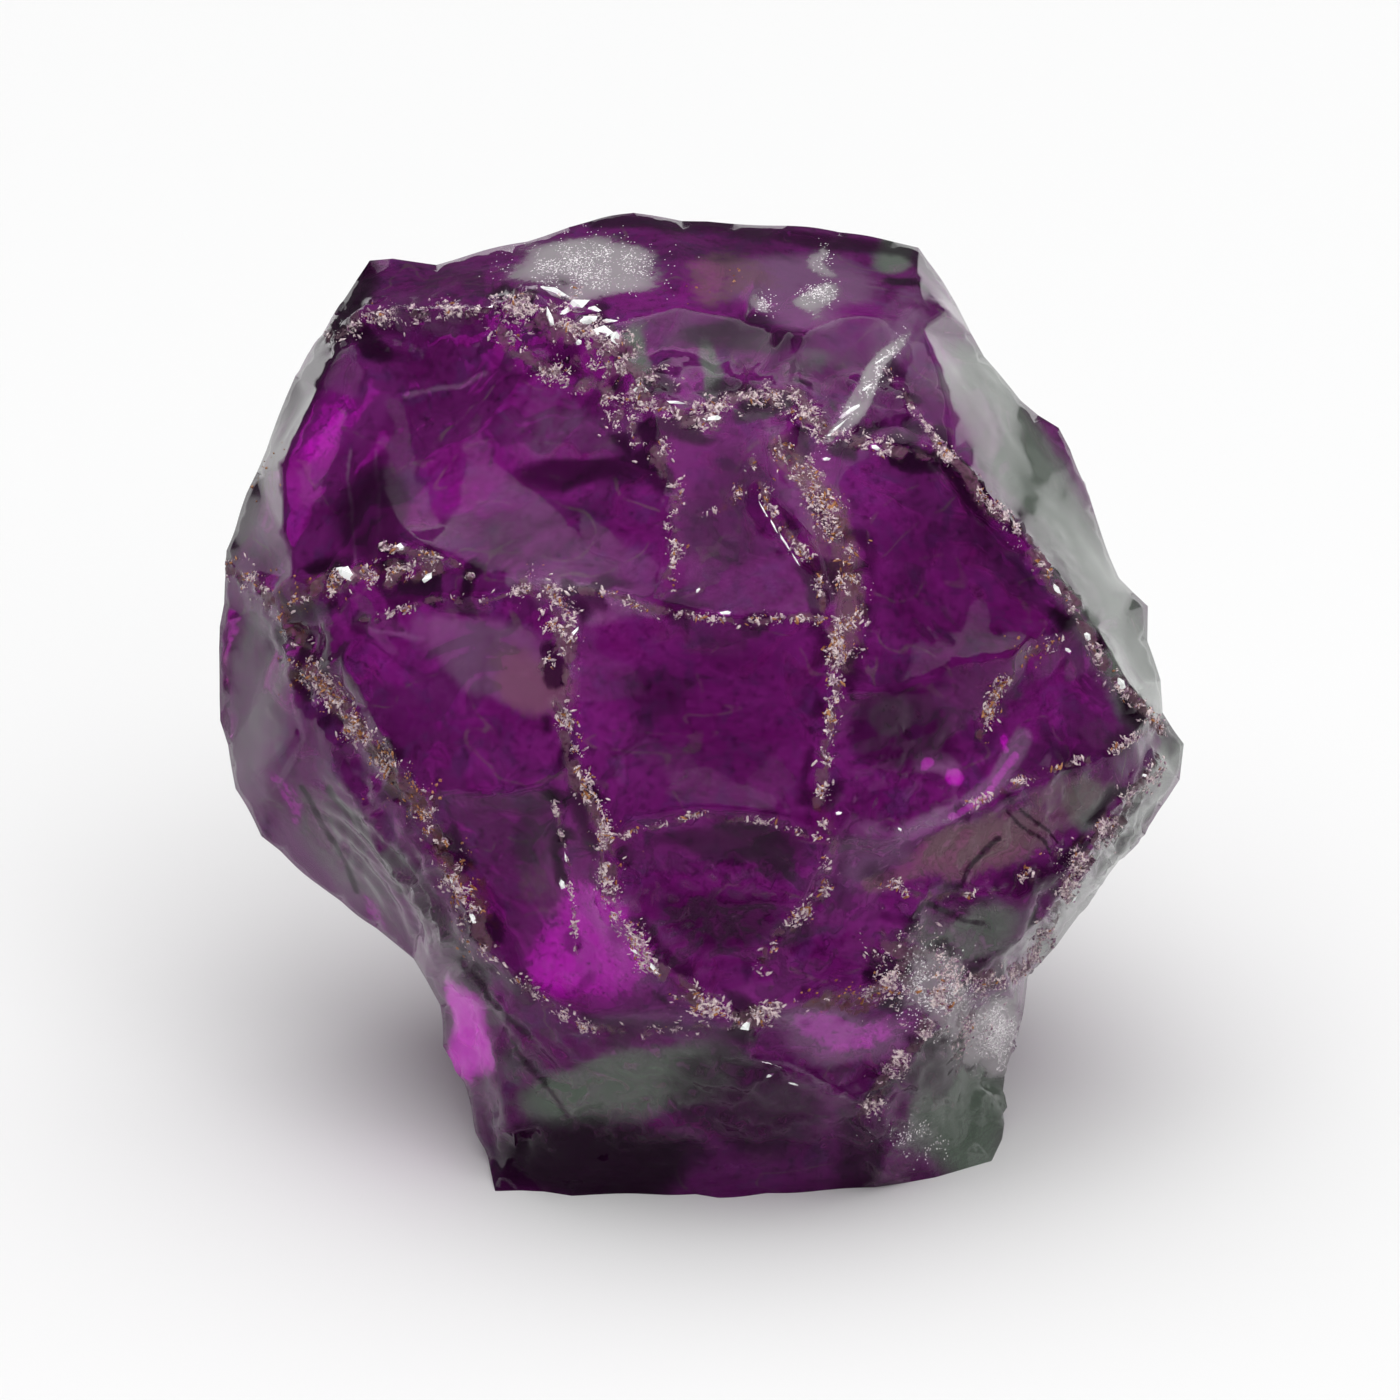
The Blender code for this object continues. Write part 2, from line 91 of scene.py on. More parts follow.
# Ridges that are crushed: half width, how badly crushed, how rusty, and the line in the front view
CRUSHED = {
    "brow_left": (0.3, 0.6, 0.1, [(-9.3, 21.5), (-7.6, 22.0), (-5.75, 22.0), (-4.4, 22.2)]),
    "brow_middle": (0.75, 0.9, 0.1, [(-4.4, 22.2), (-3.2, 21.7), (-2.2, 20.9), (-1.4, 20.0)]),
    "brow_low": (0.3, 0.8, 0.2, [(-5.0, 21.5), (-4.0, 20.6), (-2.6, 20.1), (-1.8, 19.2), (-0.8, 18.0)]),
    "brow_right": (0.35, 0.9, 0.15, [(-1.4, 19.8), (0.0, 19.3), (1.1, 19.9), (2.3, 19.8), (3.2, 18.9)]),
    "brow_end": (0.25, 0.9, 0.1, [(3.2, 18.9), (4.6, 18.6), (6.1, 18.4)]),
    "triangle": (0.12, 0.8, 0.1, [(4.6, 20.5), (5.4, 19.3), (6.1, 18.4)]),
    "nose": (0.22, 0.6, 0.5, [(-1.0, 18.8), (-0.6, 17.6), (-0.6, 16.0), (-0.9, 15.0)]),
    "nose_right": (0.16, 0.6, 0.6, [(1.4, 18.0), (0.7, 17.2), (0.1, 17.0)]),
    "spine": (0.2, 0.8, 0.55, [(1.3, 18.2), (2.0, 16.7), (2.9, 15.4), (3.4, 13.4), (3.1, 11.2), (2.9, 9.8)]),
    "spine_low": (0.22, 0.6, 0.5, [(2.9, 9.8), (3.3, 8.8), (3.0, 7.6), (2.0, 6.6), (1.5, 5.8)]),
    "spine_right": (0.45, 0.7, 0.7, [(2.0, 18.6), (3.0, 17.4), (3.6, 16.0), (3.7, 14.6), (3.4, 13.4)]),
    "saddle_left": (0.35, 0.9, 0.6, [(-11.8, 15.7), (-10.6, 14.9), (-9.4, 15.2), (-8.2, 15.5), (-6.6, 15.6)]),
    "saddle_arc": (0.14, 0.9, 0.5, [(-7.9, 16.1), (-7.2, 16.1), (-6.3, 15.8), (-5.6, 15.4)]),
    "saddle_middle": (0.11, 0.8, 0.2, [(-8.4, 14.3), (-6.7, 14.8), (-5.0, 14.9), (-3.9, 15.2), (-2.4, 15.0)]),
    "saddle_knot": (0.4, 0.7, 0.4, [(-4.3, 15.2), (-3.6, 14.7), (-3.4, 13.9)]),
    "saddle_right": (0.13, 0.7, 0.4, [(-2.4, 15.0), (-1.0, 14.5), (0.8, 14.3), (2.0, 14.4), (3.3, 14.3)]),
    "keel": (
        0.35, 0.8, 0.8,
        [(-10.4, 14.6), (-9.6, 13.0), (-8.3, 11.4), (-7.0, 9.9), (-6.0, 7.9), (-5.3, 6.2)],
    ),
    "keel_low": (0.18, 0.6, 0.3, [(-5.3, 6.2), (-4.2, 5.2), (-2.9, 4.3), (-1.0, 4.2), (0.9, 4.3)]),
    "centre_left": (0.26, 0.9, 0.5, [(-3.3, 13.9), (-3.4, 12.2), (-3.0, 10.6), (-2.4, 9.3)]),
    "centre_low": (0.3, 0.8, 0.4, [(-2.4, 9.3), (-2.2, 7.6), (-1.3, 6.0), (-0.2, 5.0), (1.1, 4.5)]),
    "crack": (0.08, 1.0, 0.0, [(-3.6, 9.9), (-3.3, 8.6), (-3.1, 7.2), (-3.0, 5.6)]),
    "scratch_left": (0.08, 0.9, 0.0, [(-3.9, 13.2), (-3.3, 14.0), (-3.0, 14.6)]),
    "lip": (0.3, 0.9, 0.3, [(1.1, 4.5), (2.4, 4.8), (3.75, 5.1), (5.0, 5.5), (6.0, 5.3)]),
    "sill": (0.1, 0.6, 0.3, [(-2.0, 9.0), (0.0, 9.6), (1.6, 9.4), (3.0, 9.0)]),
    "right_edge": (
        0.22, 1.0, 0.25,
        [(6.1, 18.4), (7.5, 16.9), (8.6, 15.5), (9.25, 14.6), (10.25, 12.9), (11.5, 11.6)],
    ),
    "right_inner": (0.2, 0.6, 0.8, [(8.9, 13.8), (8.0, 13.4), (7.3, 12.6), (6.9, 11.4)]),
    "bar": (0.14, 0.7, 0.5, [(6.6, 9.8), (8.4, 10.6), (10.0, 11.0), (11.2, 11.7)]),
    "bar_low": (0.16, 0.6, 0.4, [(4.4, 7.9), (6.0, 7.4), (7.6, 7.8), (9.2, 8.8), (10.6, 9.6)]),
    "haunch": (0.32, 0.9, 0.1, [(11.4, 10.8), (10.5, 9.6), (9.4, 8.3), (8.8, 7.0), (8.2, 5.7), (6.9, 5.4)]),
    "foot_lump": (0.35, 0.8, 0.0, [(6.0, 5.3), (5.4, 4.2), (4.6, 3.0), (4.1, 2.2)]),
    "glitter": (0.9, 0.8, 0.05, [(4.9, 6.2), (5.9, 5.0), (6.8, 4.2)]),
}

# Rugged places, where the faces are folded: half width and line
FOLDED = [
    (0.8, [(-10.0, 14.0), (-8.8, 12.0), (-6.9, 8.4), (-5.6, 5.4), (-5.2, 3.4)]),
    (0.9, [(-8.6, 21.6), (-4.0, 21.8), (-1.5, 20.2), (1.5, 20.0), (4.5, 19.4)]),
    (1.5, [(-1.2, 7.2), (2.4, 7.2)]),
    (1.9, [(4.6, 10.4), (6.4, 7.4), (9.4, 9.4)]),
    (1.8, [(-4.6, 2.6), (0.0, 2.4), (3.6, 2.4), (6.6, 3.0)]),
]

# Soft marks by finish: centre, half width, half height, lean in degrees and strength
PLACES = {
    # Frost: the stone's own whitish frosted colour, which is also given a painted glow
    "frost_and_painted_light": [
        ((-2.8, 23.2), 1.9, 0.75, -6, 1.0),
        ((2.95, 22.5), 0.5, 0.42, 0, 1.0),
        ((3.1, 23.4), 0.28, 0.4, 0, 0.8),
        ((1.6, 22.2), 0.3, 0.3, 0, 0.7),
        ((7.3, 4.1), 0.9, 1.0, 0, 1.0),
        ((7.5, 4.3), 0.6, 0.9, 0, 1.0),
        ((7.6, 3.7), 0.5, 0.8, 0, 1.0),
        ((5.4, 1.5), 0.8, 0.55, 0, 0.5),
        ((5.8, 5.2), 1.0, 1.3, 30, 0.7),
        ((4.2, 20.2), 1.7, 0.2, 56, 1.0),
    ],
    # Painted reflection: a grey-green sheen where faces mirror the pale floor and surroundings
    "painted_green_sheen": [
        ((-1.9, 2.8), 3.0, 1.05, 14, 1.0),
        ((6.6, 2.4), 1.4, 2.5, 0, 1.0),
        ((-11.1, 12.6), 1.0, 2.9, -5, 0.5),
        ((-9.0, 8.6), 0.8, 2.3, 38, 0.55),
        ((6.6, 6.3), 1.8, 1.1, 20, 0.8),
        ((-1.4, 20.7), 0.35, 1.0, -8, 0.9),
        ((0.3, 20.6), 0.25, 0.9, 12, 0.8),
        ((4.9, 23.5), 0.7, 0.4, 0, 0.9),
        ((4.7, 12.0), 0.5, 0.4, 0, 0.7),
        ((9.6, 9.8), 0.8, 0.6, 30, 0.8),
        ((-3.8, 8.4), 0.6, 1.3, 15, 0.4),
        ((-4.5, 3.3), 1.0, 0.8, 0, 0.5),
        ((2.6, 20.6), 0.9, 0.5, 20, 0.5),
    ],
    # Painted sheen: lilac veils where faces and inner cracks reflect light
    "painted_lilac_sheen": [
        ((2.6, 22.7), 1.9, 1.0, 0, 0.8),
        ((4.9, 21.5), 0.7, 1.6, -20, 0.5),
        ((-5.2, 13.5), 2.2, 0.9, -12, 0.7),
        ((-2.7, 14.8), 1.6, 0.5, 0, 0.6),
        ((5.5, 10.7), 0.6, 0.35, 0, 0.9),
        ((4.3, 8.6), 1.0, 1.2, 0, 0.6),
        ((-11.2, 11.6), 0.7, 2.4, 0, 0.8),
        ((-9.7, 8.2), 0.7, 1.9, 40, 0.8),
        ((3.6, 4.2), 1.9, 0.8, -10, 0.9),
        ((-3.2, 18.9), 1.9, 1.2, 0, 0.45),
        ((-2.2, 6.4), 1.9, 1.6, -20, 0.4),
        ((9.4, 16.6), 0.8, 1.6, 30, 0.5),
        ((-8.2, 10.9), 0.4, 0.9, 40, 0.7),
    ],
    "tan": [
        ((-4.2, 12.9), 1.3, 0.7, -30, 0.9),
        ((0.7, 23.0), 1.2, 0.7, 0, 0.7),
        ((3.2, 16.2), 0.6, 1.9, 8, 0.6),
        ((6.8, 8.7), 2.1, 0.75, 20, 1.0),
        ((9.1, 9.8), 1.3, 0.6, 25, 0.6),
        ((-3.9, 7.7), 0.5, 0.8, 0, 0.4),
    ],
    # Painted glow: bright magenta where light comes through thin parts, also emitted
    "painted_glow": [
        ((-5.9, 4.2), 0.55, 1.7, 8, 1.0),
        ((-9.2, 19.2), 0.7, 1.1, -20, 0.6),
        ((-5.6, 17.3), 1.3, 0.7, -20, 0.5),
        ((-2.7, 6.3), 1.9, 1.6, -20, 0.75),
        ((-10.4, 9.8), 0.25, 0.8, 20, 0.6),
        ((-8.3, 7.0), 0.22, 0.75, 38, 0.6),
        ((-6.4, 12.2), 1.8, 0.9, -20, 0.35),
        ((3.6, 4.3), 1.6, 0.6, -8, 0.72),
        ((-8.8, 6.2), 0.5, 0.9, 50, 0.5),
        ((4.0, 21.7), 0.8, 1.0, 0, 0.4),
        ((5.3, 10.6), 0.2, 0.22, 0, 0.9),
        ((5.95, 10.5), 0.24, 0.26, 30, 0.9),
        ((7.8, 11.3), 0.22, 0.32, 0, 0.9),
    ],
    # Painted shade: dark places in the middle, at the foot, beside ridges and at the left rim
    "painted_shade_and_dark_tone": [
        ((-8.1, 17.0), 1.2, 1.5, 0, 0.85),
        ((-6.4, 22.8), 2.0, 0.7, 8, 0.5),
        ((0.8, 23.6), 3.4, 0.5, -3, 0.5),
        ((3.9, 20.9), 1.3, 0.5, 20, 0.4),
        ((8.8, 11.0), 1.6, 0.8, 20, 0.5),
        ((-3.0, 17.9), 1.9, 0.4, 4, 0.9),
        ((-8.3, 21.3), 1.1, 0.4, -15, 0.9),
        ((4.9, 11.6), 1.5, 1.2, -20, 0.8),
        ((0.9, 8.8), 2.3, 0.45, -4, 0.8),
        ((1.9, 8.5), 0.9, 0.5, -20, 0.8),
        ((0.6, 7.2), 1.9, 0.8, 0, 0.7),
        ((-3.9, 9.2), 0.8, 1.3, 0, 0.6),
        ((-2.6, 0.9), 3.2, 1.1, 0, 0.95),
        ((1.0, 2.4), 2.3, 1.5, -20, 0.75),
        ((3.9, 1.2), 0.9, 1.3, 0, 0.7),
        ((5.8, 3.0), 0.8, 0.6, 30, 0.95),
        ((-6.2, 6.4), 0.6, 1.6, 35, 0.5),
        ((8.3, 8.0), 1.0, 0.5, 30, 0.7),
        ((5.2, 22.8), 0.7, 0.25, -10, 0.9),
        ((1.0, 21.4), 1.8, 0.6, 0, 0.8),
        ((0.6, 16.9), 1.7, 1.7, 0, 0.6),
        ((0.2, 12.0), 2.8, 2.4, 0, 0.5),
        ((6.4, 15.4), 2.6, 2.4, -20, 0.55),
        ((5.8, 12.2), 2.4, 1.4, 0, 0.55),
        ((-3.6, 16.6), 2.4, 0.8, 8, 0.5),
        ((-9.0, 13.8), 1.0, 0.6, 0, 0.6),
        ((7.4, 12.2), 0.9, 1.2, 30, 0.5),
        ((-3.4, 21.1), 0.6, 0.35, -20, 0.7),
    ],
    "rusty": [
        ((-7.1, 10.1), 0.8, 0.35, -20, 0.5),
        ((-5.7, 7.6), 0.35, 1.1, 15, 0.45),
        ((3.7, 5.1), 0.9, 0.3, 10, 0.55),
        ((0.6, 22.7), 0.9, 0.5, 0, 0.2),
        ((-9.9, 15.0), 0.9, 0.5, 0, 0.4),
        ((-2.1, 9.2), 0.6, 0.35, 10, 0.4),
        ((-10.7, 18.0), 0.6, 0.6, 0, 0.3),
        ((8.0, 13.6), 0.8, 0.3, 0, 0.3),
        ((-10.2, 13.1), 0.3, 0.6, 0, 0.35),
    ],
}

# Marks along a line by finish: half width, strength and the line
STROKES = {
    # Frost along a streak, with its painted glow
    "frost_and_painted_light": [
        (0.14, 0.8, [(3.2, 18.8), (3.8, 19.8), (4.6, 20.9)]),
    ],
    # Painted reflection: grey-green sheen along the right side band, the haunch and the keel
    "painted_green_sheen": [
        (1.15, 0.95, [(6.9, 20.4), (7.7, 18.8), (9.1, 16.5), (10.3, 14.4), (11.2, 12.6)]),
        (0.45, 0.9, [(11.9, 11.2), (10.9, 9.4), (9.6, 7.6), (8.6, 6.2)]),
        (0.5, 0.6, [(-7.6, 8.4), (-6.2, 6.4), (-5.2, 4.6)]),
    ],
    # Painted sheen: thin lilac veils along ridges and cracks
    "painted_lilac_sheen": [
        (0.34, 0.75, [(3.2, 18.9), (3.9, 19.7), (4.7, 20.8), (5.2, 21.9)]),
        (0.22, 0.85, [(-4.6, 15.3), (-3.0, 15.1), (-1.1, 14.5)]),
        (0.3, 0.9, [(8.0, 11.4), (7.2, 10.2), (6.2, 9.6), (5.0, 9.0)]),
        (0.8, 0.6, [(9.6, 15.4), (10.8, 13.6), (11.4, 12.2)]),
        (0.12, 0.6, [(-11.5, 15.2), (-10.4, 13.4), (-9.9, 11.4), (-10.6, 10.2)]),
        (0.1, 0.6, [(-9.8, 9.9), (-8.3, 8.2), (-7.1, 6.0)]),
        (0.07, 0.6, [(-8.7, 18.6), (-8.6, 16.6), (-8.5, 15.8)]),
        (0.07, 0.5, [(-8.0, 18.6), (-8.0, 16.6), (-8.1, 15.8)]),
        (0.09, 0.6, [(-7.3, 19.9), (-6.0, 20.1), (-5.3, 20.5)]),
        (0.09, 0.6, [(-8.6, 14.2), (-7.0, 13.9), (-5.6, 13.9)]),
        (0.08, 0.7, [(0.6, 3.6), (2.0, 3.4), (3.6, 2.6)]),
    ],
    "tan": [
        (0.25, 0.8, [(4.2, 7.8), (5.6, 8.3), (7.2, 9.4)]),
        (0.45, 0.75, [(2.0, 18.6), (3.0, 17.4), (3.6, 16.0), (3.7, 14.6), (3.4, 13.4)]),
        (0.3, 0.6, [(-10.2, 14.2), (-8.4, 11.5), (-7.0, 9.9), (-6.0, 7.9)]),
    ],
    # Painted glow along a thin line
    "painted_glow": [
        (0.14, 0.8, [(7.8, 11.0), (7.0, 10.0), (6.2, 9.5)]),
    ],
    # Painted shade along thin lines, the top edge and the left rim
    "painted_shade_and_dark_tone": [
        (0.06, 0.9, [(7.6, 9.6), (8.4, 8.9), (8.6, 8.5)]),
        (0.06, 0.9, [(7.9, 9.7), (8.6, 9.1), (8.8, 8.8)]),
        (0.09, 0.9, [(6.3, 7.6), (6.8, 8.4), (7.4, 9.0)]),
        (0.09, 0.9, [(8.9, 8.3), (9.8, 9.0), (10.6, 9.5)]),
        (0.1, 0.9, [(5.2, 7.0), (5.6, 7.4), (6.2, 7.0), (7.0, 6.8)]),
        (0.3, 0.8, [(-2.6, 24.4), (0.0, 24.3), (3.3, 23.8), (5.0, 23.7), (6.0, 23.1)]),
        (0.8, 0.95, [(-12.2, 16.2), (-11.0, 18.6), (-9.6, 21.0), (-8.6, 23.0)]),
        (0.1, 0.9, [(-10.0, 10.2), (-9.6, 9.6), (-9.0, 8.7), (-8.6, 7.6)]),
        (0.1, 0.7, [(-4.9, 4.2), (-4.4, 3.4), (-3.6, 2.5), (-3.3, 1.9)]),
        (0.14, 0.9, [(-9.2, 10.2), (-8.2, 9.0), (-7.4, 7.6)]),
        (0.1, 0.8, [(-6.0, 6.0), (-5.2, 5.0), (-4.2, 4.0)]),
    ],
}

# The finishes in the order in which they cover each other: how fine and how broken up their specks are
# The glow, the two sheens and the shade are painted light and shade; frost also gets a painted glow
LAYERS = {
    "painted_glow": ("fine", 1.2),
    "painted_lilac_sheen": ("soft", 1.1),
    "painted_green_sheen": ("soft", 0.9),
    "tan": ("fine", 1.3),
    "painted_shade_and_dark_tone": ("soft", 0.9),
    "crushed": ("fine", 1.8),
    "frost_and_painted_light": ("fine", 1.0),
    "rusty": ("fine", 2.0),
}

# Marks on the sides and the back: size of their lumps in millimetres, from which noise on, and strength
# Glow, sheens and shade behind are painted light and shade, as on the front
MARKS_BEHIND = {
    "painted_green_sheen": (5.5, 0.54, 0.7),
    "painted_lilac_sheen": (4.1, 0.58, 0.6),
    "painted_glow": (3.2, 0.6, 0.5),
    "painted_shade_and_dark_tone": (4.6, 0.54, 0.7),
    "frost_and_painted_light": (2.6, 0.68, 0.7),
    "tan": (2.9, 0.66, 0.6),
}

# Fans of ripples: centre of the rings, distance between rings, height, and the place where they show
RIPPLES = [
    ((-11.6, 5.2), 0.36, 0.03, ((-7.7, 8.0), 0.7, 2.6, 38, 1.0)),
    ((-0.2, 5.4), 0.3, 0.008, ((-2.2, 5.4), 1.6, 1.0, -20, 1.0)),
    ((7.0, 20.0), 0.7, 0.008, ((5.6, 15.6), 2.2, 2.2, 0, 0.7)),
    ((-9.0, 24.0), 0.8, 0.01, ((-5.0, 18.6), 3.0, 2.2, 0, 0.7)),
    ((-2.0, 60.0), 0.3, 0.01, ((-2.2, 0.7), 3.0, 0.9, 0, 1.0)),
]

# Single bright chips: place, half length and half width in millimetres, and lean in degrees
FLAKES = [
    ((-3.6, 22.5), 0.6, 0.14, -28), ((-3.1, 22.15), 0.42, 0.24, -20), ((-2.8, 21.75), 0.36, 0.2, 30),
    ((-2.45, 21.45), 0.4, 0.22, -15), ((-2.05, 21.35), 0.3, 0.18, 50), ((-3.7, 21.8), 0.3, 0.1, -60),
    ((-3.35, 21.95), 0.3, 0.14, 70), ((-2.6, 22.05), 0.28, 0.12, -40), ((-2.2, 21.75), 0.24, 0.1, 10),
    ((-3.0, 21.2), 0.16, 0.1, 10), ((-1.6, 20.0), 0.3, 0.08, 20), ((-0.6, 19.7), 0.3, 0.09, 10),
    ((0.3, 19.3), 0.3, 0.1, -10), ((-8.8, 15.5), 0.5, 0.2, -14), ((-7.4, 16.15), 0.2, 0.13, 0),
    ((-6.75, 15.4), 0.22, 0.12, 10), ((1.55, 17.05), 0.28, 0.03, -57), ((1.8, 16.65), 0.32, 0.04, -57),
    ((2.1, 16.2), 0.3, 0.035, -57), ((2.35, 15.8), 0.26, 0.03, -57), ((3.35, 19.05), 0.4, 0.05, 45),
    ((3.7, 19.5), 0.5, 0.06, 50), ((4.15, 20.1), 0.4, 0.04, 54), ((4.5, 20.8), 0.3, 0.03, 56),
    ((8.8, 15.1), 0.24, 0.09, -52), ((9.6, 13.95), 0.2, 0.08, -45), ((10.45, 12.75), 0.3, 0.17, -35),
    ((9.1, 13.6), 0.18, 0.07, -20), ((1.15, 4.4), 0.22, 0.18, -30), ((-3.4, 7.85), 0.16, 0.12, 80),
    ((-3.3, 8.5), 0.16, 0.05, 85), ((-1.1, 5.75), 0.3, 0.08, -45), ((-1.6, 6.2), 0.16, 0.08, -30),
    ((-0.05, 15.05), 0.12, 0.05, 60), ((0.6, 14.5), 0.2, 0.07, 0), ((-6.1, 7.9), 0.3, 0.12, -70),
    ((-5.6, 7.0), 0.22, 0.08, -60), ((-3.1, 14.0), 0.3, 0.05, 50), ((4.9, 9.2), 0.1, 0.06, 0),
    ((11.0, 10.5), 0.12, 0.08, 0), ((9.3, 7.4), 0.2, 0.07, 30), ((3.1, 18.3), 0.14, 0.08, 0),
    ((4.3, 18.6), 0.18, 0.09, -10), ((1.7, 3.1), 0.16, 0.06, 30), ((2.3, 2.9), 0.2, 0.06, -25),
    ((3.4, 9.6), 0.1, 0.06, 0),
]
CHIP_SIDES = 5
CHIPS_AT_ONCE = 100
RUSTY_SHARE = 0.35

# Grains by piece: darkest and palest tone, roughness, and how much they glint, a painted glow they emit
GRAIN_FINISHES = {
    "pale_grains": ((0.20, 0.06, 0.17), (0.84, 0.70, 0.70), 0.4, 0.0),
    "rusty_grains": ((0.20, 0.05, 0.01), (0.50, 0.21, 0.07), 0.5, 0.0),
    "frost_grains": ((0.62, 0.52, 0.60), (0.95, 0.93, 0.93), 0.5, 0.05),
    "bright_chips": ((0.62, 0.66, 0.63), (0.95, 0.97, 0.96), 0.25, 0.25),
}

# Soft lights: place in metres, width and height, and share of the power of its kind
LIGHTS = {
    "top_light": ((0.0, 0.03, 0.6), 1.0, 1.0, 1.0),
    "front_light": ((0.19, -0.465, 0.56), 0.6, 0.5, 1.0),
    "right_light": ((0.28, 0.22, 0.15), 0.3, 0.3, 1.0),
    "left_light": ((-0.30, 0.20, 0.15), 0.3, 0.3, 0.25),
}


class StoneShape(bpy.types.PropertyGroup):
    fine_levels: IntProperty(
        name="Fine levels", description="How often the solid's faces are divided",
        default=2, min=0, max=3,
    )
    crisp_angle: FloatProperty(
        name="Crisp angle", description="Edges bent by more than this stay sharp",
        default=math.radians(17), subtype="ANGLE",
    )
    chip_size: FloatProperty(
        name="Chip size", description="Size of the chips along a crushed ridge",
        default=0.28 * MM, unit="LENGTH",
    )
    chip_depth: FloatProperty(
        name="Chip depth", description="Depth of the chips along a crushed ridge",
        default=0.09 * MM, unit="LENGTH",
    )
    fold_size: FloatProperty(
        name="Fold size", description="Size of the broken facets in rugged places",
        default=1.3 * MM, unit="LENGTH",
    )
    fold_height: FloatProperty(
        name="Fold height", description="Height of the facets in rugged places",
        default=0.13 * MM, unit="LENGTH",
    )
    ripple_length: FloatProperty(
        name="Ripple length", description="Distance between ripples on a face",
        default=0.9 * MM, unit="LENGTH",
    )
    ripple_height: FloatProperty(
        name="Ripple height", description="Height of the ripples on a face",
        default=0.012 * MM, unit="LENGTH",
    )


class StoneFinish(bpy.types.PropertyGroup):
    absorbing: FloatVectorProperty(
        name="Colour", description="Colour that the clear stone keeps",
        default=(0.765, 0.06, 0.75), subtype="COLOR",
    )
    density: FloatProperty(
        name="Density", description="How strongly the stone takes in light, per metre",
        default=470.0,
    )
    refraction: FloatProperty(name="Refraction", description="Refractive index", default=1.76)
    clearness: FloatProperty(
        name="Clearness", description="Share of the light that goes through the surface",
        default=0.8,
    )
    deep: FloatVectorProperty(
        name="Deep tone", description="Darker tone of the body",
        default=(0.36, 0.02, 0.33), subtype="COLOR",
    )
    bright: FloatVectorProperty(
        name="Bright tone", description="Lighter tone of the body",
        default=(0.62, 0.07, 0.60), subtype="COLOR",
    )
    bluish: FloatVectorProperty(
        name="Bluish tone", description="Bluer patches of the body",
        default=(0.32, 0.09, 0.46), subtype="COLOR",
    )
    # Frost: its own whitish colour, and the colour of its painted glow
    frost_and_painted_light: FloatVectorProperty(
        name="Frost", description="Colour of frosted garnet",
        default=(0.88, 0.84, 0.86), subtype="COLOR",
    )
    crushed: FloatVectorProperty(
        name="Crushed", description="Colour of crushed garnet",
        default=(0.56, 0.33, 0.40), subtype="COLOR",
    )
    rusty: FloatVectorProperty(
        name="Rust", description="Colour of the iron stains",
        default=(0.42, 0.13, 0.03), subtype="COLOR",
    )
    # Painted reflection: colour of the grey-green sheen of the pale surroundings
    painted_green_sheen: FloatVectorProperty(
        name="Grey-green", description="Colour of the grey-green sheen",
        default=(0.54, 0.68, 0.55), subtype="COLOR",
    )
    # Painted sheen: colour of the lilac veils of reflected light
    painted_lilac_sheen: FloatVectorProperty(
        name="Lilac", description="Colour of the lilac veils",
        default=(0.86, 0.42, 0.86), subtype="COLOR",
    )
    tan: FloatVectorProperty(
        name="Tan", description="Colour of the pinkish-brown veils",
        default=(0.72, 0.38, 0.50), subtype="COLOR",
    )
    # Painted glow: colour given as base colour and as emission where light comes through
    painted_glow: FloatVectorProperty(
        name="Glow", description="Colour where light comes through",
        default=(0.98, 0.02, 0.93), subtype="COLOR",
    )
    # Colour of the painted shade, also used for random dark specks in the body
    painted_shade_and_dark_tone: FloatVectorProperty(
        name="Dark", description="Colour of the darkest places",
        default=(0.05, 0.012, 0.05), subtype="COLOR",
    )


class GrainSizes(bpy.types.PropertyGroup):
    pale_spread: FloatProperty(
        name="Pale grains", description="Number of pale grains tried on a square millimetre",
        default=1300.0,
    )
    rusty_spread: FloatProperty(
        name="Rusty grains", description="Number of rusty grains tried on a square millimetre",
        default=350.0,
    )
    frost_spread: FloatProperty(
        name="Frost grains", description="Number of grains of frost tried on a square millimetre",
        default=1700.0,
    )
    least: FloatProperty(
        name="Least size", description="Smallest grain",
        default=0.01 * MM, unit="LENGTH",
    )
    most: FloatProperty(
        name="Most size", description="Largest grain",
        default=0.06 * MM, unit="LENGTH",
    )


class Studio(bpy.types.PropertyGroup):
    distance: FloatProperty(
        name="Distance", description="From the camera to the stone",
        default=0.4, unit="LENGTH",
    )
    floor_colour: FloatVectorProperty(
        name="Floor", description="Colour of the floor",
        default=(0.86, 0.86, 0.86), subtype="COLOR",
    )
    floor_size: FloatProperty(
        name="Floor size", description="Width of the floor",
        default=3.0, unit="LENGTH",
    )
    top_light: FloatProperty(
        name="Top light", description="Power of the light overhead",
        default=6.4, unit="POWER",
    )
    front_light: FloatProperty(
        name="Front light", description="Power of the light on the viewer's side",
        default=1.2, unit="POWER",
    )
    side_light: FloatProperty(
        name="Side lights", description="Power of the lights behind the sides",
        default=0.06, unit="POWER",
    )
    fill: FloatProperty(name="Fill", description="Strength of the light from all around", default=0.06)


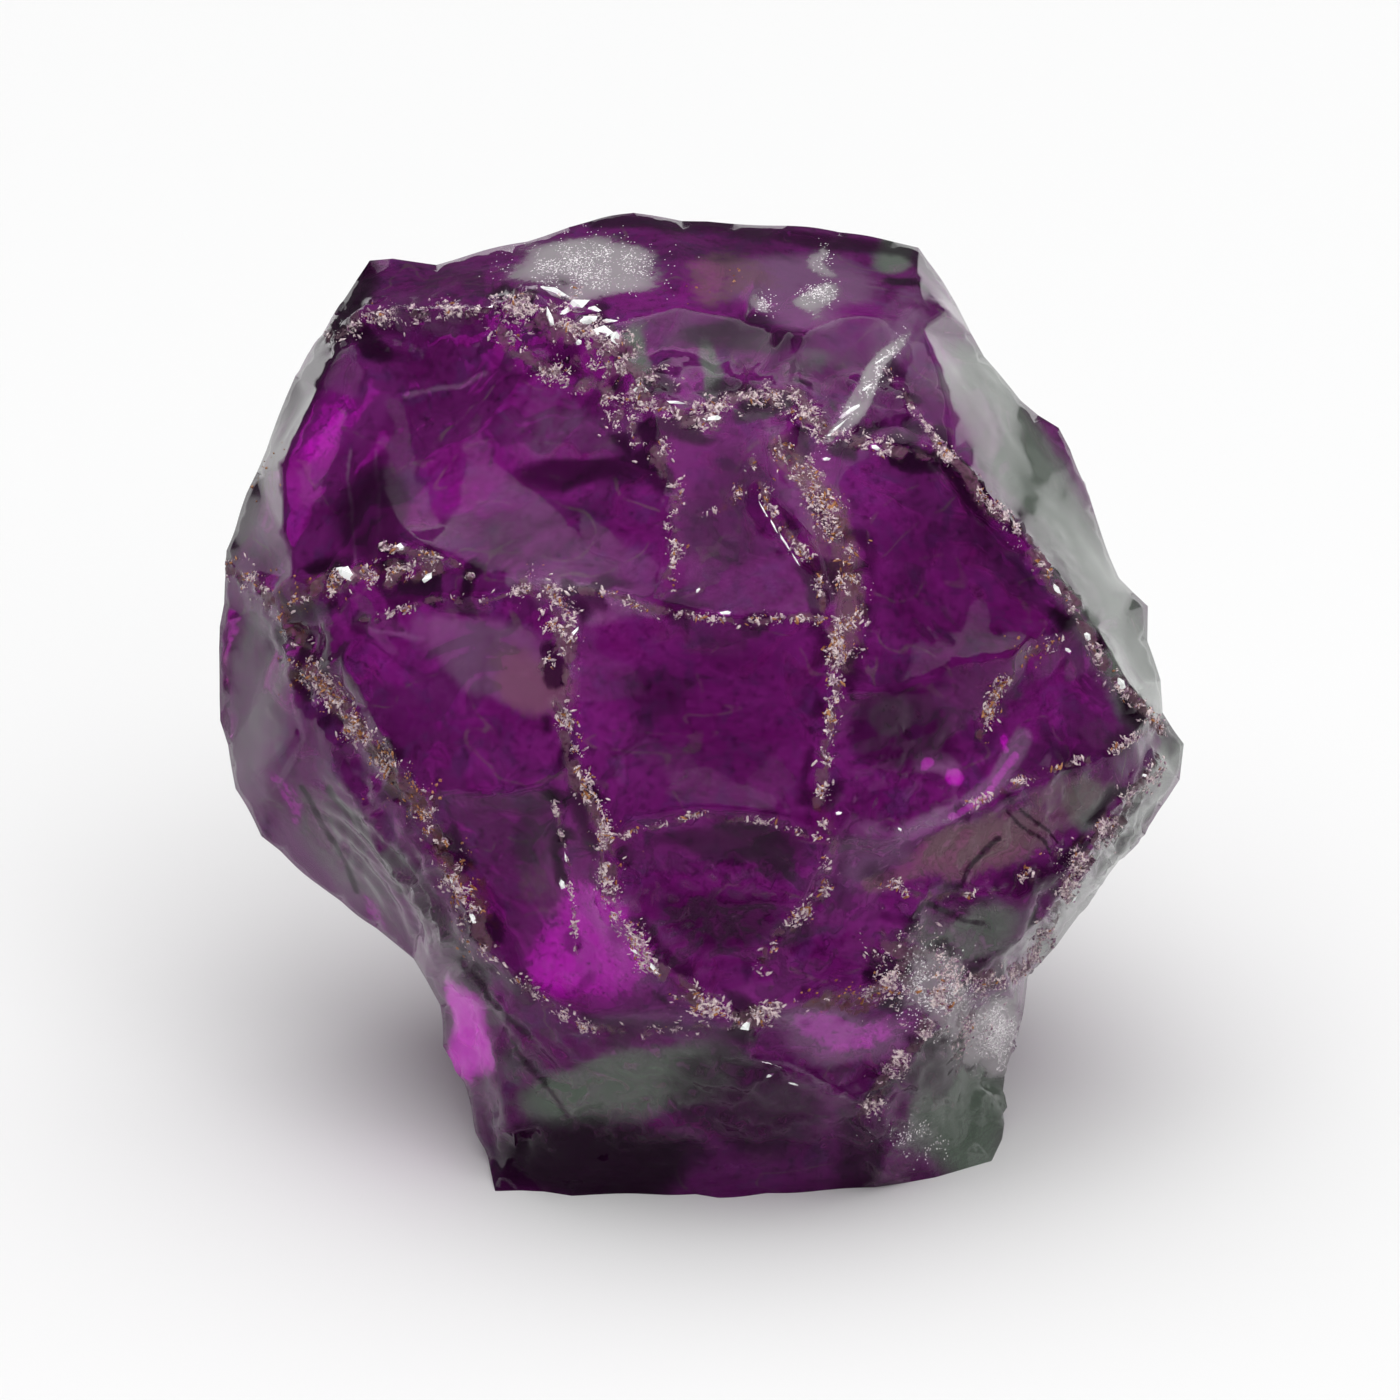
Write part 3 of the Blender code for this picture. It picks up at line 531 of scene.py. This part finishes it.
class FrontView:
    """Measures points in the front view, in millimetres from the front edge of the foot."""

    def __init__(self):
        low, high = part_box("garnet")
        points = [vert.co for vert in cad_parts["garnet"].data.vertices]
        self.left = min(point.dot(RIGHT) for point in points)
        self.bottom = min(point.dot(UP) for point in points)
        self.middle = (low + high).dot(TOWARDS) / 2

    def seen(self, points):
        """Points of the stone as an array of x and y in the front view."""
        x = (points @ np.array(RIGHT) - self.left) / MM + LEFTMOST
        y = (points @ np.array(UP) - self.bottom) / MM
        return np.stack([x, y], axis=1)

    def placed(self, x, y):
        """The point in the stone's middle plane that is seen at x and y."""
        right = (x - LEFTMOST) * MM + self.left
        up = y * MM + self.bottom
        return RIGHT * right + UP * up + TOWARDS * self.middle


def smooth_step(low, high, values):
    share = np.clip((values - low) / (high - low), 0, 1)
    return share * share * (3 - 2 * share)


def line_distance(points, line):
    """Distance of each point in the front view from a line of several stretches."""
    best = np.full(len(points), np.inf)
    for start, end in zip(np.array(line[:-1], float), np.array(line[1:], float)):
        along = end - start
        share = np.clip((points - start) @ along / (along @ along), 0, 1)
        best = np.minimum(best, np.linalg.norm(points - start - share[:, None] * along, axis=1))
    return best


def in_place(points, place):
    """How far each point in the front view lies in this place, from 0 to its strength."""
    (x, y), half_width, half_height, lean, strength = place
    turn = math.radians(lean)
    dx, dy = points[:, 0] - x, points[:, 1] - y
    along = (dx * math.cos(turn) + dy * math.sin(turn)) / half_width
    across = (dy * math.cos(turn) - dx * math.sin(turn)) / half_height
    return strength * smooth_step(1.35, 0.55, np.hypot(along, across))


def soft_noise(points, size):
    """Noise from 0 to 1 at each point, with lumps of this size."""
    return np.array([0.5 + 0.5 * noise.noise(Vector(point) / size) for point in points.tolist()])


def shifted(points, seen, size, reach):
    """The places in the front view, moved about softly, so that marks get natural edges."""
    shifts = np.array([noise.noise_vector(Vector(point) / size)[:2] for point in points.tolist()])
    return seen + shifts * reach


def fine_mesh(shape):
    """The solid with its faces divided and its ridges kept crisp, and points along those ridges."""
    bm = bmesh.new()
    bm.from_mesh(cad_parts["garnet"].data)
    bmesh.ops.remove_doubles(bm, verts=bm.verts, dist=WELD)
    crease = bm.edges.layers.float.new("crease_edge")
    ridge_points = []
    for edge in bm.edges:
        bend = abs(edge.calc_face_angle_signed(0.0))
        edge[crease] = float(bend > shape.crisp_angle)
        if bend > shape.crisp_angle:
            ends = [vert.co.copy() for vert in edge.verts]
            steps = max(1, int((ends[1] - ends[0]).length / RIDGE_STEP))
            ridge_points += [ends[0].lerp(ends[1], step / steps) for step in range(steps)]
    mesh = bpy.data.meshes.new("garnet_rough")
    bm.to_mesh(mesh)
    bm.free()
    rough = bpy.data.objects.new("garnet_rough", mesh)
    bpy.context.scene.collection.objects.link(rough)
    divide = rough.modifiers.new("divide", "SUBSURF")
    divide.levels = divide.render_levels = shape.fine_levels
    finished = rough.evaluated_get(bpy.context.evaluated_depsgraph_get())
    fine = bpy.data.meshes.new_from_object(finished)
    bpy.data.objects.remove(rough)
    bpy.data.meshes.remove(mesh)
    return fine, ridge_points


def read_mesh(mesh):
    """The mesh's points and normals as arrays."""
    arrays = []
    for name in ("co", "normal"):
        flat = np.empty(len(mesh.vertices) * 3)
        mesh.vertices.foreach_get(name, flat)
        arrays.append(flat.reshape(-1, 3))
    return arrays


def divide_where(mesh, detail, least):
    """Divides the mesh's faces once more where there is more detail than this."""
    bm = bmesh.new()
    bm.from_mesh(mesh)
    chosen = [edge for edge in bm.edges if max(detail[vert.index] for vert in edge.verts) > least]
    bmesh.ops.subdivide_edges(bm, edges=chosen, cuts=1, use_grid_fill=True)
    bmesh.ops.triangulate(bm, faces=bm.faces)
    bm.to_mesh(mesh)
    bm.free()


class Surface:
    """Where the stone's points lie, and how strong each finish is there."""

    def __init__(self, mesh, view, ridge_points):
        self.points, self.normals = read_mesh(mesh)
        self.seen = view.seen(self.points)
        facing = self.normals @ np.array(TOWARDS)
        self.front = smooth_step(-0.3, -0.05, facing)
        self.behind = smooth_step(-0.15, -0.4, facing)
        self.find_ridges(ridge_points)
        self.finish = {name: np.zeros(len(self.points)) for name in LAYERS}
        self.crush()
        self.fold()
        self.mark()
        self.mark_behind()

    def find_ridges(self, ridge_points):
        tree = kdtree.KDTree(len(ridge_points))
        for index, point in enumerate(ridge_points):
            tree.insert(point, index)
        tree.balance()
        self.ridge_distance = np.array([tree.find(point)[2] for point in self.points.tolist()]) / MM

    def raise_to(self, name, values):
        self.finish[name] = np.maximum(self.finish[name], values)

    def crush(self):
        """Crushed and rusty stretches along the front's ridges, with painted shade beside them."""
        uneven = 0.2 + 1.6 * soft_noise(self.points, 0.7 * MM)
        clumps = 0.2 + 0.8 * smooth_step(0.36, 0.58, soft_noise(self.points, 0.4 * MM))
        rusted = soft_noise(self.points, 0.9 * MM)
        shaded = smooth_step(0.48, 0.62, soft_noise(self.points, 0.8 * MM))
        near_seen = shifted(self.points, self.seen, 1.1 * MM, 0.15)
        for half_width, strength, rust, line in CRUSHED.values():
            away = line_distance(near_seen, line)
            near = smooth_step(1.2, 0.2, away / (half_width * uneven)) * self.front
            self.raise_to("crushed", near * strength * clumps)
            self.raise_to("rusty", near * rust * rusted)
            # Painted shade beside each crushed ridge, broken up by noise
            beside = smooth_step(1.0, 0.3, (away - half_width) / 0.5) * self.front
            self.raise_to("painted_shade_and_dark_tone", beside * strength * shaded)

    def fold(self):
        """Rugged places of the front, and patches of the back."""
        self.folded = smooth_step(0.5, 0.62, soft_noise(self.points, 6 * MM)) * self.behind
        for half_width, line in FOLDED:
            near = smooth_step(1.3, 0.5, line_distance(self.seen, line) / half_width)
            self.folded = np.maximum(self.folded, near * self.front)

    def mark(self):
        # Places and strokes of every finish, painted glow, sheen and shade among them
        loose = shifted(self.points, self.seen, 1.6 * MM, 0.5)
        tight = shifted(self.points, self.seen, 1.1 * MM, 0.12)
        for name, places in PLACES.items():
            for place in places:
                self.raise_to(name, in_place(loose, place) * self.front)
        for name, strokes in STROKES.items():
            for half_width, strength, line in strokes:
                near = smooth_step(1.3, 0.4, line_distance(tight, line) / half_width)
                self.raise_to(name, near * strength * self.front)

    def mark_behind(self):
        """Like marks on the sides and the back, wherever noise puts them; glow, sheens and shade are painted.
        """
        patchy = soft_noise(self.points, 3.5 * MM)
        near = smooth_step(0.5, 0.08, self.ridge_distance) * smooth_step(0.45, 0.7, patchy) * self.behind
        self.raise_to("crushed", near)
        self.raise_to("rusty", near * 0.5)
        for name, (size, low, strength) in MARKS_BEHIND.items():
            lumps = soft_noise(self.points + size * MM, size * MM)
            self.raise_to(name, strength * smooth_step(low, low + 0.12, lumps) * self.behind)

    def detail(self):
        """How finely the surface has to be divided, from 0 to 1."""
        fine = self.finish["crushed"] * (1 - 0.6 * self.behind)
        for _, _, height, place in RIPPLES:
            if height > HIGH_RIPPLE:
                fine = np.maximum(fine, 0.4 * in_place(self.seen, place) * self.front)
        for strokes in STROKES.values():
            for half_width, _, line in strokes:
                if half_width < NARROW_STROKE:
                    near = smooth_step(2.5, 1.0, line_distance(self.seen, line) / half_width)
                    fine = np.maximum(fine, 0.4 * near * self.front)
        return fine

    def ripples(self):
        """Heights of the fans of ripples."""
        heights = np.zeros(len(self.points))
        for (x, y), length, height, place in RIPPLES:
            rings = np.hypot(self.seen[:, 0] - x, self.seen[:, 1] - y) / length
            rings += 0.6 * soft_noise(self.points, 1.5 * MM)
            heights += height * MM * in_place(self.seen, place) * self.front * np.sin(math.tau * rings)
        return heights


def broken_height(point, size):
    """Height of a surface of small flat chips at this point, from about -1 to 1."""
    place = point / size
    _, cells = noise.voronoi(place)
    lean = noise.cell_vector(cells[0] * 37.1)
    return (lean.x - 0.5) + 1.6 * (place - cells[0]).dot(lean - Vector((0.5, 0.5, 0.5)))


def surface_heights(surface, shape):
    """How far each point of the stone is moved along its normal."""
    away = smooth_step(0.2, 1.2, surface.ridge_distance)
    heights = surface.ripples()
    for index, row in enumerate(surface.points.tolist()):
        point = Vector(row)
        crushed, folded = surface.finish["crushed"][index], surface.folded[index]
        if crushed > 0.02:
            small = broken_height(point * 2.1, shape.chip_size)
            chips = broken_height(point, shape.chip_size) + 0.6 * small
            heights[index] += crushed * shape.chip_depth * chips
        if folded > 0.02:
            small = broken_height(point * 2.3, shape.fold_size)
            folds = broken_height(point, shape.fold_size) + 0.5 * small
            creases = abs(noise.noise(point / (0.8 * MM)))
            heights[index] += folded * shape.fold_height * (folds - creases)
        wave = 3.0 * noise.noise(point / (2.6 * MM))
        swell = math.sin(math.tau * (point.length / shape.ripple_length + wave))
        heights[index] += away[index] * shape.ripple_height * swell
    return heights * smooth_step(0.0, FOOT_RIM, surface.points[:, 2] - surface.points[:, 2].min())


def build_stone(shape, view):
    """The stone's finished mesh, with masks for its finish."""
    mesh, ridge_points = fine_mesh(shape)
    for least in DIVIDE_ABOVE:
        divide_where(mesh, Surface(mesh, view, ridge_points).detail(), least)
    surface = Surface(mesh, view, ridge_points)
    moved = surface.points + surface_heights(surface, shape)[:, None] * surface.normals
    mesh.vertices.foreach_set("co", moved.ravel())
    mesh.update()
    for name, values in surface.finish.items():
        attribute = mesh.attributes.new(name, "FLOAT", "POINT")
        attribute.data.foreach_set("value", values.astype(np.float32))
    mesh.shade_smooth()
    mesh.set_sharp_from_angle(angle=SHARP_BEND)
    return mesh


def add_node(tree, kind, inputs=None, **settings):
    """Adds a node and gives its inputs numbers, colours or the outputs of other nodes."""
    node = tree.nodes.new(kind)
    for name, value in settings.items():
        setattr(node, name, value)
    for name, value in (inputs or {}).items():
        if isinstance(value, bpy.types.NodeSocket):
            tree.links.new(value, node.inputs[name])
        else:
            node.inputs[name].default_value = value
    return node


def speckled_group():
    """Breaks a soft mask into specks where a grainy value says."""
    tree = bpy.data.node_groups.new("speckled", "ShaderNodeTree")
    for name, value in (("Mask", 1.0), ("Grain", 0.5), ("Breaking", 0.5)):
        tree.interface.new_socket(name, in_out="INPUT", socket_type="NodeSocketFloat").default_value = value
    tree.interface.new_socket("Amount", in_out="OUTPUT", socket_type="NodeSocketFloat")
    given = add_node(tree, "NodeGroupInput")
    centred = add_node(tree, "ShaderNodeMath", {0: given.outputs["Grain"], 1: 0.5}, operation="SUBTRACT")
    broken = add_node(tree, "ShaderNodeMath", {
        0: centred.outputs[0], 1: given.outputs["Breaking"], 2: given.outputs["Mask"],
    }, operation="MULTIPLY_ADD")
    edge = add_node(tree, "ShaderNodeMapRange", {
        "Value": broken.outputs[0], "From Min": 0.15, "From Max": 0.75,
    }, interpolation_type="SMOOTHSTEP")
    kept = add_node(tree, "ShaderNodeMath", {
        0: edge.outputs[0], 1: given.outputs["Mask"],
    }, operation="MULTIPLY", use_clamp=True)
    out = add_node(tree, "NodeGroupOutput")
    tree.links.new(kept.outputs[0], out.inputs["Amount"])
    return tree


def grainy(tree, scale, detail, roughness, stretch=(1, 1, 1)):
    """A noise value from 0 to 1 in this material."""
    place = add_node(tree, "ShaderNodeTexCoord")
    stretched = add_node(tree, "ShaderNodeMapping", {"Vector": place.outputs["Object"], "Scale": stretch})
    return add_node(tree, "ShaderNodeTexNoise", {
        "Vector": stretched.outputs["Vector"], "Scale": scale, "Detail": detail, "Roughness": roughness,
        "Distortion": 0.4,
    }).outputs["Fac"]


def ramp(tree, value, low, high, most=1.0):
    """A value that rises from 0 to its most between these two."""
    return add_node(tree, "ShaderNodeMapRange", {
        "Value": value, "From Min": low, "From Max": high, "To Max": most,
    }).outputs[0]


def blend(tree, factor, first, second):
    """A blend of two colours in this material."""
    return add_node(tree, "ShaderNodeMix", {
        "Factor": factor, "A": first, "B": second,
    }, data_type="RGBA").outputs["Result"]


def speckled(tree, mask, grain, breaking):
    """A speckled mask in this material."""
    group = bpy.data.node_groups.get("speckled") or speckled_group()
    return add_node(tree, "ShaderNodeGroup", {
        "Mask": mask, "Grain": grain, "Breaking": breaking,
    }, node_tree=group).outputs["Amount"]


def stone_finish(finish):
    """Clear purple garnet: glass that takes in green light, with veils and stains where the masks say; the
    veils are painted sheen, painted glow and painted shade.
    """
    material = bpy.data.materials.new("garnet")
    material.use_nodes = True
    tree = material.node_tree
    shader = tree.nodes["Principled BSDF"]
    shader.inputs["IOR"].default_value = finish.refraction
    shader.inputs["Transmission Weight"].default_value = finish.clearness
    shader.inputs["Specular Tint"].default_value = (0.09, 0.08, 0.09, 1)
    # Strength of the painted glow: glow places and frost emit light, though the stone is no lamp
    shader.inputs["Emission Strength"].default_value = 0.24
    absorb = add_node(tree, "ShaderNodeVolumeAbsorption", {
        "Color": (*finish.absorbing, 1), "Density": finish.density,
    })
    tree.links.new(absorb.outputs["Volume"], tree.nodes["Material Output"].inputs["Volume"])
    clouds = grainy(tree, 420.0, 5.0, 0.74, (0.5, 1.0, 1.3))
    soft = grainy(tree, 1300.0, 3.0, 0.72)
    fine = grainy(tree, 4200.0, 2.0, 0.7)
    colour = blend(tree, ramp(tree, clouds, 0.36, 0.66), (*finish.deep, 1), (*finish.bright, 1))
    colour = blend(tree, ramp(tree, soft, 0.52, 0.66, 0.5), colour, (*finish.bluish, 1))
    # Random dark specks in the body, in the colour of the painted shade
    colour = blend(tree, ramp(tree, fine, 0.5, 0.74, 0.6), colour, (*finish.painted_shade_and_dark_tone, 1))
    curl = grainy(tree, 260.0, 2.0, 0.5, (1.0, 1.0, 1.6))
    middle = add_node(tree, "ShaderNodeMath", {0: curl, 1: 0.5, 2: 0.006}, operation="COMPARE").outputs[0]
    lines = add_node(tree, "ShaderNodeMath", {
        0: middle, 1: ramp(tree, soft, 0.45, 0.6, 0.5),
    }, operation="MULTIPLY").outputs[0]
    colour = blend(tree, lines, colour, (*finish.crushed, 1))
    worn = None
    grains = {"soft": soft, "fine": fine}
    for name, (grain, breaking) in LAYERS.items():
        mask = add_node(tree, "ShaderNodeAttribute", attribute_name=name)
        amount = speckled(tree, mask.outputs["Fac"], grains[grain], breaking)
        colour = blend(tree, amount, colour, (*getattr(finish, name), 1))
        # The painted glow and the frost's painted glow make the emission colour
        if name == "painted_glow":
            painted_emission = blend(tree, ramp(tree, amount, 0.4, 1.0), (0, 0, 0, 1), (*finish.painted_glow, 1))
        if name == "frost_and_painted_light":
            painted_emission = blend(tree, ramp(tree, amount, 0.2, 1.0, 0.5), painted_emission, (*finish.frost_and_painted_light, 1))
        if name in ("crushed", "frost_and_painted_light", "rusty"):
            worn = amount if worn is None else add_node(
                tree, "ShaderNodeMath", {0: worn, 1: amount}, operation="MAXIMUM"
            ).outputs[0]
    tree.links.new(colour, shader.inputs["Base Color"])
    tree.links.new(painted_emission, shader.inputs["Emission Color"])
    rough = add_node(tree, "ShaderNodeMapRange", {"Value": worn, "To Min": 0.1, "To Max": 0.5})
    tree.links.new(rough.outputs[0], shader.inputs["Roughness"])
    return material


def grain_finish(name, low, high, roughness, painted_glint):
    """Opaque grains whose colour varies between two tones, and which glint by this much: a painted glow that
    they emit.
    """
    material = bpy.data.materials.new(name)
    material.use_nodes = True
    tree = material.node_tree
    shader = tree.nodes["Principled BSDF"]
    shader.inputs["IOR"].default_value = 1.6
    shader.inputs["Roughness"].default_value = roughness
    shader.inputs["Emission Color"].default_value = (*high, 1)
    shader.inputs["Emission Strength"].default_value = painted_glint
    amount = speckled(tree, 0.5, grainy(tree, 8000.0, 2.0, 0.6), 1.8)
    colour = blend(tree, ramp(tree, amount, 0.0, 0.5), (*low, 1), (*high, 1))
    tree.links.new(colour, shader.inputs["Base Color"])
    return material


def show(name, mesh, material):
    """A finished piece of the stone, riding on its body."""
    mesh.name = name
    mesh.materials.clear()
    mesh.materials.append(material)
    piece = bpy.data.objects.new(name, mesh)
    bpy.context.scene.collection.objects.link(piece)
    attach(piece, "root")
    return piece


class GARNET_OT_stone(bpy.types.Operator):
    """Makes the stone's fine surface and its clear purple finish"""

    bl_idname = "garnet.stone"
    bl_label = "Stone"

    def execute(self, context):
        noise.seed_set(SEED)
        mesh = build_stone(context.scene.garnet_shape, FrontView())
        stone = show("garnet_stone", mesh, stone_finish(context.scene.garnet_finish))
        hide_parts("garnet")
        return {"FINISHED"}


class Seater:
    """Finds where a thing seen at a place of the front view sits on the stone."""

    def __init__(self):
        self.view = FrontView()
        bm = bmesh.new()
        bm.from_mesh(bpy.data.objects["garnet_stone"].data)
        self.tree = BVHTree.FromBMesh(bm)
        bm.free()

    def seat(self, x, y):
        """The point and the normal of the surface seen at x and y, or None beside the stone."""
        start = self.view.placed(x, y) + TOWARDS * IN_FRONT
        point, normal, _, _ = self.tree.ray_cast(start, -TOWARDS)
        return None if point is None else (point, normal)


def chip(bm, point, normal, half_length, half_width, half_thick, turn, chance):
    """Adds one broken chip that lies on the surface, its long side turned about the normal."""
    flat = normal.to_track_quat("Z", "Y").to_matrix().to_4x4()
    size = Matrix.Diagonal((half_length, half_width, half_thick, 1))
    place = Matrix.Translation(point) @ flat @ Matrix.Rotation(turn, 4, "Z") @ size
    made = bmesh.ops.create_cone(
        bm, cap_ends=True, segments=CHIP_SIDES, radius1=1.0, radius2=0.0, depth=2.0
    )["verts"]
    tip = Vector((chance.uniform(-0.6, 0.6), chance.uniform(-0.6, 0.6), 0))
    seat = Vector((0, 0, 0.6))
    for vert in made:
        vert.co = place @ (vert.co * chance.uniform(0.6, 1.2) + (tip + seat if vert.co.z > 0 else seat))


def chips_mesh(name, chips, chance):
    """One mesh of many chips, made in batches."""
    whole = bmesh.new()
    for start in range(0, len(chips), CHIPS_AT_ONCE):
        part = bmesh.new()
        for settings in chips[start:start + CHIPS_AT_ONCE]:
            chip(part, *settings, chance)
        mesh = bpy.data.meshes.new("batch")
        part.to_mesh(mesh)
        part.free()
        whole.from_mesh(mesh)
        bpy.data.meshes.remove(mesh)
    mesh = bpy.data.meshes.new(name)
    whole.to_mesh(mesh)
    whole.free()
    return mesh


def lean_turn(normal, lean):
    """The turn about the normal that makes a chip's long side lean by this angle in the front view."""
    flat = normal.to_track_quat("Z", "Y").to_matrix()
    wanted = RIGHT * math.cos(lean) + UP * math.sin(lean)
    local = flat.transposed() @ wanted
    return math.atan2(local.y, local.x)


def grain_size(sizes, chance, power):
    """A grain's size: the higher the power, the more of the grains are small."""
    return sizes.least + (sizes.most - sizes.least) * chance.random() ** power


def ridge_grains(seater, sizes, chance):
    """Pale and rusty grains in clumps along the crushed ridges."""
    pale, rusty = [], []
    for half_width, strength, rust, line in CRUSHED.values():
        spread = half_width * 0.5
        for start, end in zip(line[:-1], line[1:]):
            tried = math.dist(start, end) * 2 * half_width * strength * sizes.pale_spread
            for _ in range(int(tried)):
                share = chance.random()
                x = start[0] + share * (end[0] - start[0]) + chance.gauss(0, spread)
                y = start[1] + share * (end[1] - start[1]) + chance.gauss(0, spread)
                clump = noise.noise(Vector((x, y, 3.0)) * 1.6)
                clump += 0.8 * noise.noise(Vector((x, y, 9.0)) * 4)
                if clump < chance.uniform(-0.1, 0.5):
                    continue
                seat = seater.seat(x, y)
                if seat is None:
                    continue
                size = grain_size(sizes, chance, 4)
                half_length = size * chance.uniform(1, 3.0)
                grain = (*seat, half_length, size * 0.85, size * 0.6, chance.uniform(0, math.pi))
                (rusty if chance.random() < rust * RUSTY_SHARE else pale).append(grain)
    return pale, rusty


def stain_grains(seater, sizes, chance):
    """Rusty grains in the iron stains."""
    grains = []
    for (middle_x, middle_y), half_width, half_height, _, strength in PLACES["rusty"]:
        for _ in range(int(strength * half_width * half_height * sizes.rusty_spread)):
            x = middle_x + chance.gauss(0, half_width * 0.6)
            y = middle_y + chance.gauss(0, half_height * 0.6)
            seat = seater.seat(x, y)
            if seat is None or noise.noise(Vector((x, y, 5.0)) * 3) < -0.05:
                continue
            size = grain_size(sizes, chance, 2)
            grains.append((*seat, size * 1.4, size, size * 0.6, chance.uniform(0, math.pi)))
    return grains


def frost_grains(seater, sizes, chance):
    """Fine grains in the white patches."""
    grains = []
    for (middle_x, middle_y), half_width, half_height, lean, strength in PLACES["frost_and_painted_light"]:
        turn = math.radians(lean)
        for _ in range(int(strength * half_width * half_height * sizes.frost_spread)):
            along = chance.gauss(0, 0.45) * half_width
            across = chance.gauss(0, 0.45) * half_height
            x = middle_x + along * math.cos(turn) - across * math.sin(turn)
            y = middle_y + along * math.sin(turn) + across * math.cos(turn)
            seat = seater.seat(x, y)
            if seat is None or noise.noise(Vector((x, y, 7.0)) * 2.5) < chance.uniform(-0.4, 0.25):
                continue
            size = sizes.least * chance.uniform(1.2, 2.8)
            grains.append((*seat, size * 1.3, size, size * 0.4, chance.uniform(0, math.pi)))
    return grains


def bright_chips(seater):
    """The single bright chips, each at its own place."""
    chips = []
    for (x, y), half_length, half_width, lean in FLAKES:
        seat = seater.seat(x, y)
        if seat is None:
            continue
        turn = lean_turn(seat[1], math.radians(lean))
        chips.append((*seat, half_length * MM, half_width * MM, half_width * 0.5 * MM, turn))
    return chips


class GARNET_OT_grains(bpy.types.Operator):
    """Seats pale and rusty grains, frost and bright chips on the stone"""

    bl_idname = "garnet.grains"
    bl_label = "Grains"

    def execute(self, context):
        sizes = context.scene.garnet_grains
        noise.seed_set(SEED)
        chance = random.Random(SEED)
        seater = Seater()
        pale, rusty = ridge_grains(seater, sizes, chance)
        pieces = {
            "pale_grains": pale,
            "rusty_grains": rusty + stain_grains(seater, sizes, chance),
            "frost_grains": frost_grains(seater, sizes, chance),
            "bright_chips": bright_chips(seater),
        }
        for name, chips in pieces.items():
            show(name, chips_mesh(name, chips, chance), grain_finish(name, *GRAIN_FINISHES[name]))
        return {"FINISHED"}


def aim(thing, target):
    """Turns a light or camera towards a point."""
    thing.rotation_euler = (Vector(target) - thing.location).to_track_quat("-Z", "Y").to_euler()


def soft_light(name, place, target, width, height, power):
    data = bpy.data.lights.new(name, "AREA")
    data.shape = "RECTANGLE"
    data.size = width
    data.size_y = height
    data.energy = power
    light = bpy.data.objects.new(name, data)
    bpy.context.scene.collection.objects.link(light)
    light.location = place
    aim(light, target)


def make_floor(studio):
    bm = bmesh.new()
    bmesh.ops.create_grid(bm, x_segments=1, y_segments=1, size=studio.floor_size / 2)
    mesh = bpy.data.meshes.new("floor")
    bm.to_mesh(mesh)
    bm.free()
    paint = bpy.data.materials.new("floor")
    paint.use_nodes = True
    shader = paint.node_tree.nodes["Principled BSDF"]
    shader.inputs["Base Color"].default_value = (*studio.floor_colour, 1)
    shader.inputs["Roughness"].default_value = 0.9
    mesh.materials.append(paint)
    floor = bpy.data.objects.new("floor", mesh)
    bpy.context.scene.collection.objects.link(floor)


def make_camera(studio, middle):
    """The camera, which looks down at the stone and frames it as the photo does."""
    data = bpy.data.cameras.new("camera")
    data.lens = data.sensor_width * studio.distance / (FRAME_WIDTH * MM)
    data.clip_start = 0.01
    camera = bpy.data.objects.new("camera", data)
    bpy.context.scene.collection.objects.link(camera)
    camera.location = middle + TOWARDS * studio.distance
    aim(camera, middle)
    bpy.context.scene.camera = camera


class GARNET_OT_studio(bpy.types.Operator):
    """Makes the floor, the soft lights and the camera"""

    bl_idname = "garnet.studio"
    bl_label = "Studio"

    def execute(self, context):
        studio = context.scene.garnet_studio
        middle = FrontView().placed(*FRAME_MIDDLE)
        powers = {"top_light": studio.top_light, "front_light": studio.front_light}
        make_floor(studio)
        for name, (place, width, height, share) in LIGHTS.items():
            power = powers.get(name, studio.side_light) * share
            soft_light(name, place, middle, width, height, power)
        world = bpy.data.worlds.new("studio")
        world.use_nodes = True
        background = world.node_tree.nodes["Background"]
        background.inputs["Color"].default_value = (1, 1, 1, 1)
        background.inputs["Strength"].default_value = studio.fill
        context.scene.world = world
        context.scene.view_settings.view_transform = "Standard"
        make_camera(studio, middle)
        return {"FINISHED"}


class GARNET_PT_sidebar(bpy.types.Panel):
    bl_idname = "GARNET_PT_sidebar"
    bl_label = "Garnet"
    bl_space_type = "VIEW_3D"
    bl_region_type = "UI"
    bl_category = "Garnet"

    def draw(self, context):
        for group in GROUPS:
            settings = getattr(context.scene, group)
            for name in settings.bl_rna.properties.keys():
                if name not in ("rna_type", "name"):
                    self.layout.prop(settings, name)
        for operator in OPERATORS:
            self.layout.operator(operator.bl_idname)


GROUPS = {
    "garnet_shape": StoneShape,
    "garnet_finish": StoneFinish,
    "garnet_grains": GrainSizes,
    "garnet_studio": Studio,
}
OPERATORS = (GARNET_OT_stone, GARNET_OT_grains, GARNET_OT_studio)


def register():
    for name, group in GROUPS.items():
        bpy.utils.register_class(group)
        setattr(bpy.types.Scene, name, PointerProperty(type=group))
    for operator in OPERATORS:
        bpy.utils.register_class(operator)
    bpy.utils.register_class(GARNET_PT_sidebar)


def unregister():
    bpy.utils.unregister_class(GARNET_PT_sidebar)
    for operator in reversed(OPERATORS):
        bpy.utils.unregister_class(operator)
    for name, group in reversed(GROUPS.items()):
        delattr(bpy.types.Scene, name)
        bpy.utils.unregister_class(group)


def main():
    register()
    bpy.ops.garnet.stone()
    bpy.ops.garnet.grains()
    bpy.ops.garnet.studio()


if __name__ == "__main__":
    main()
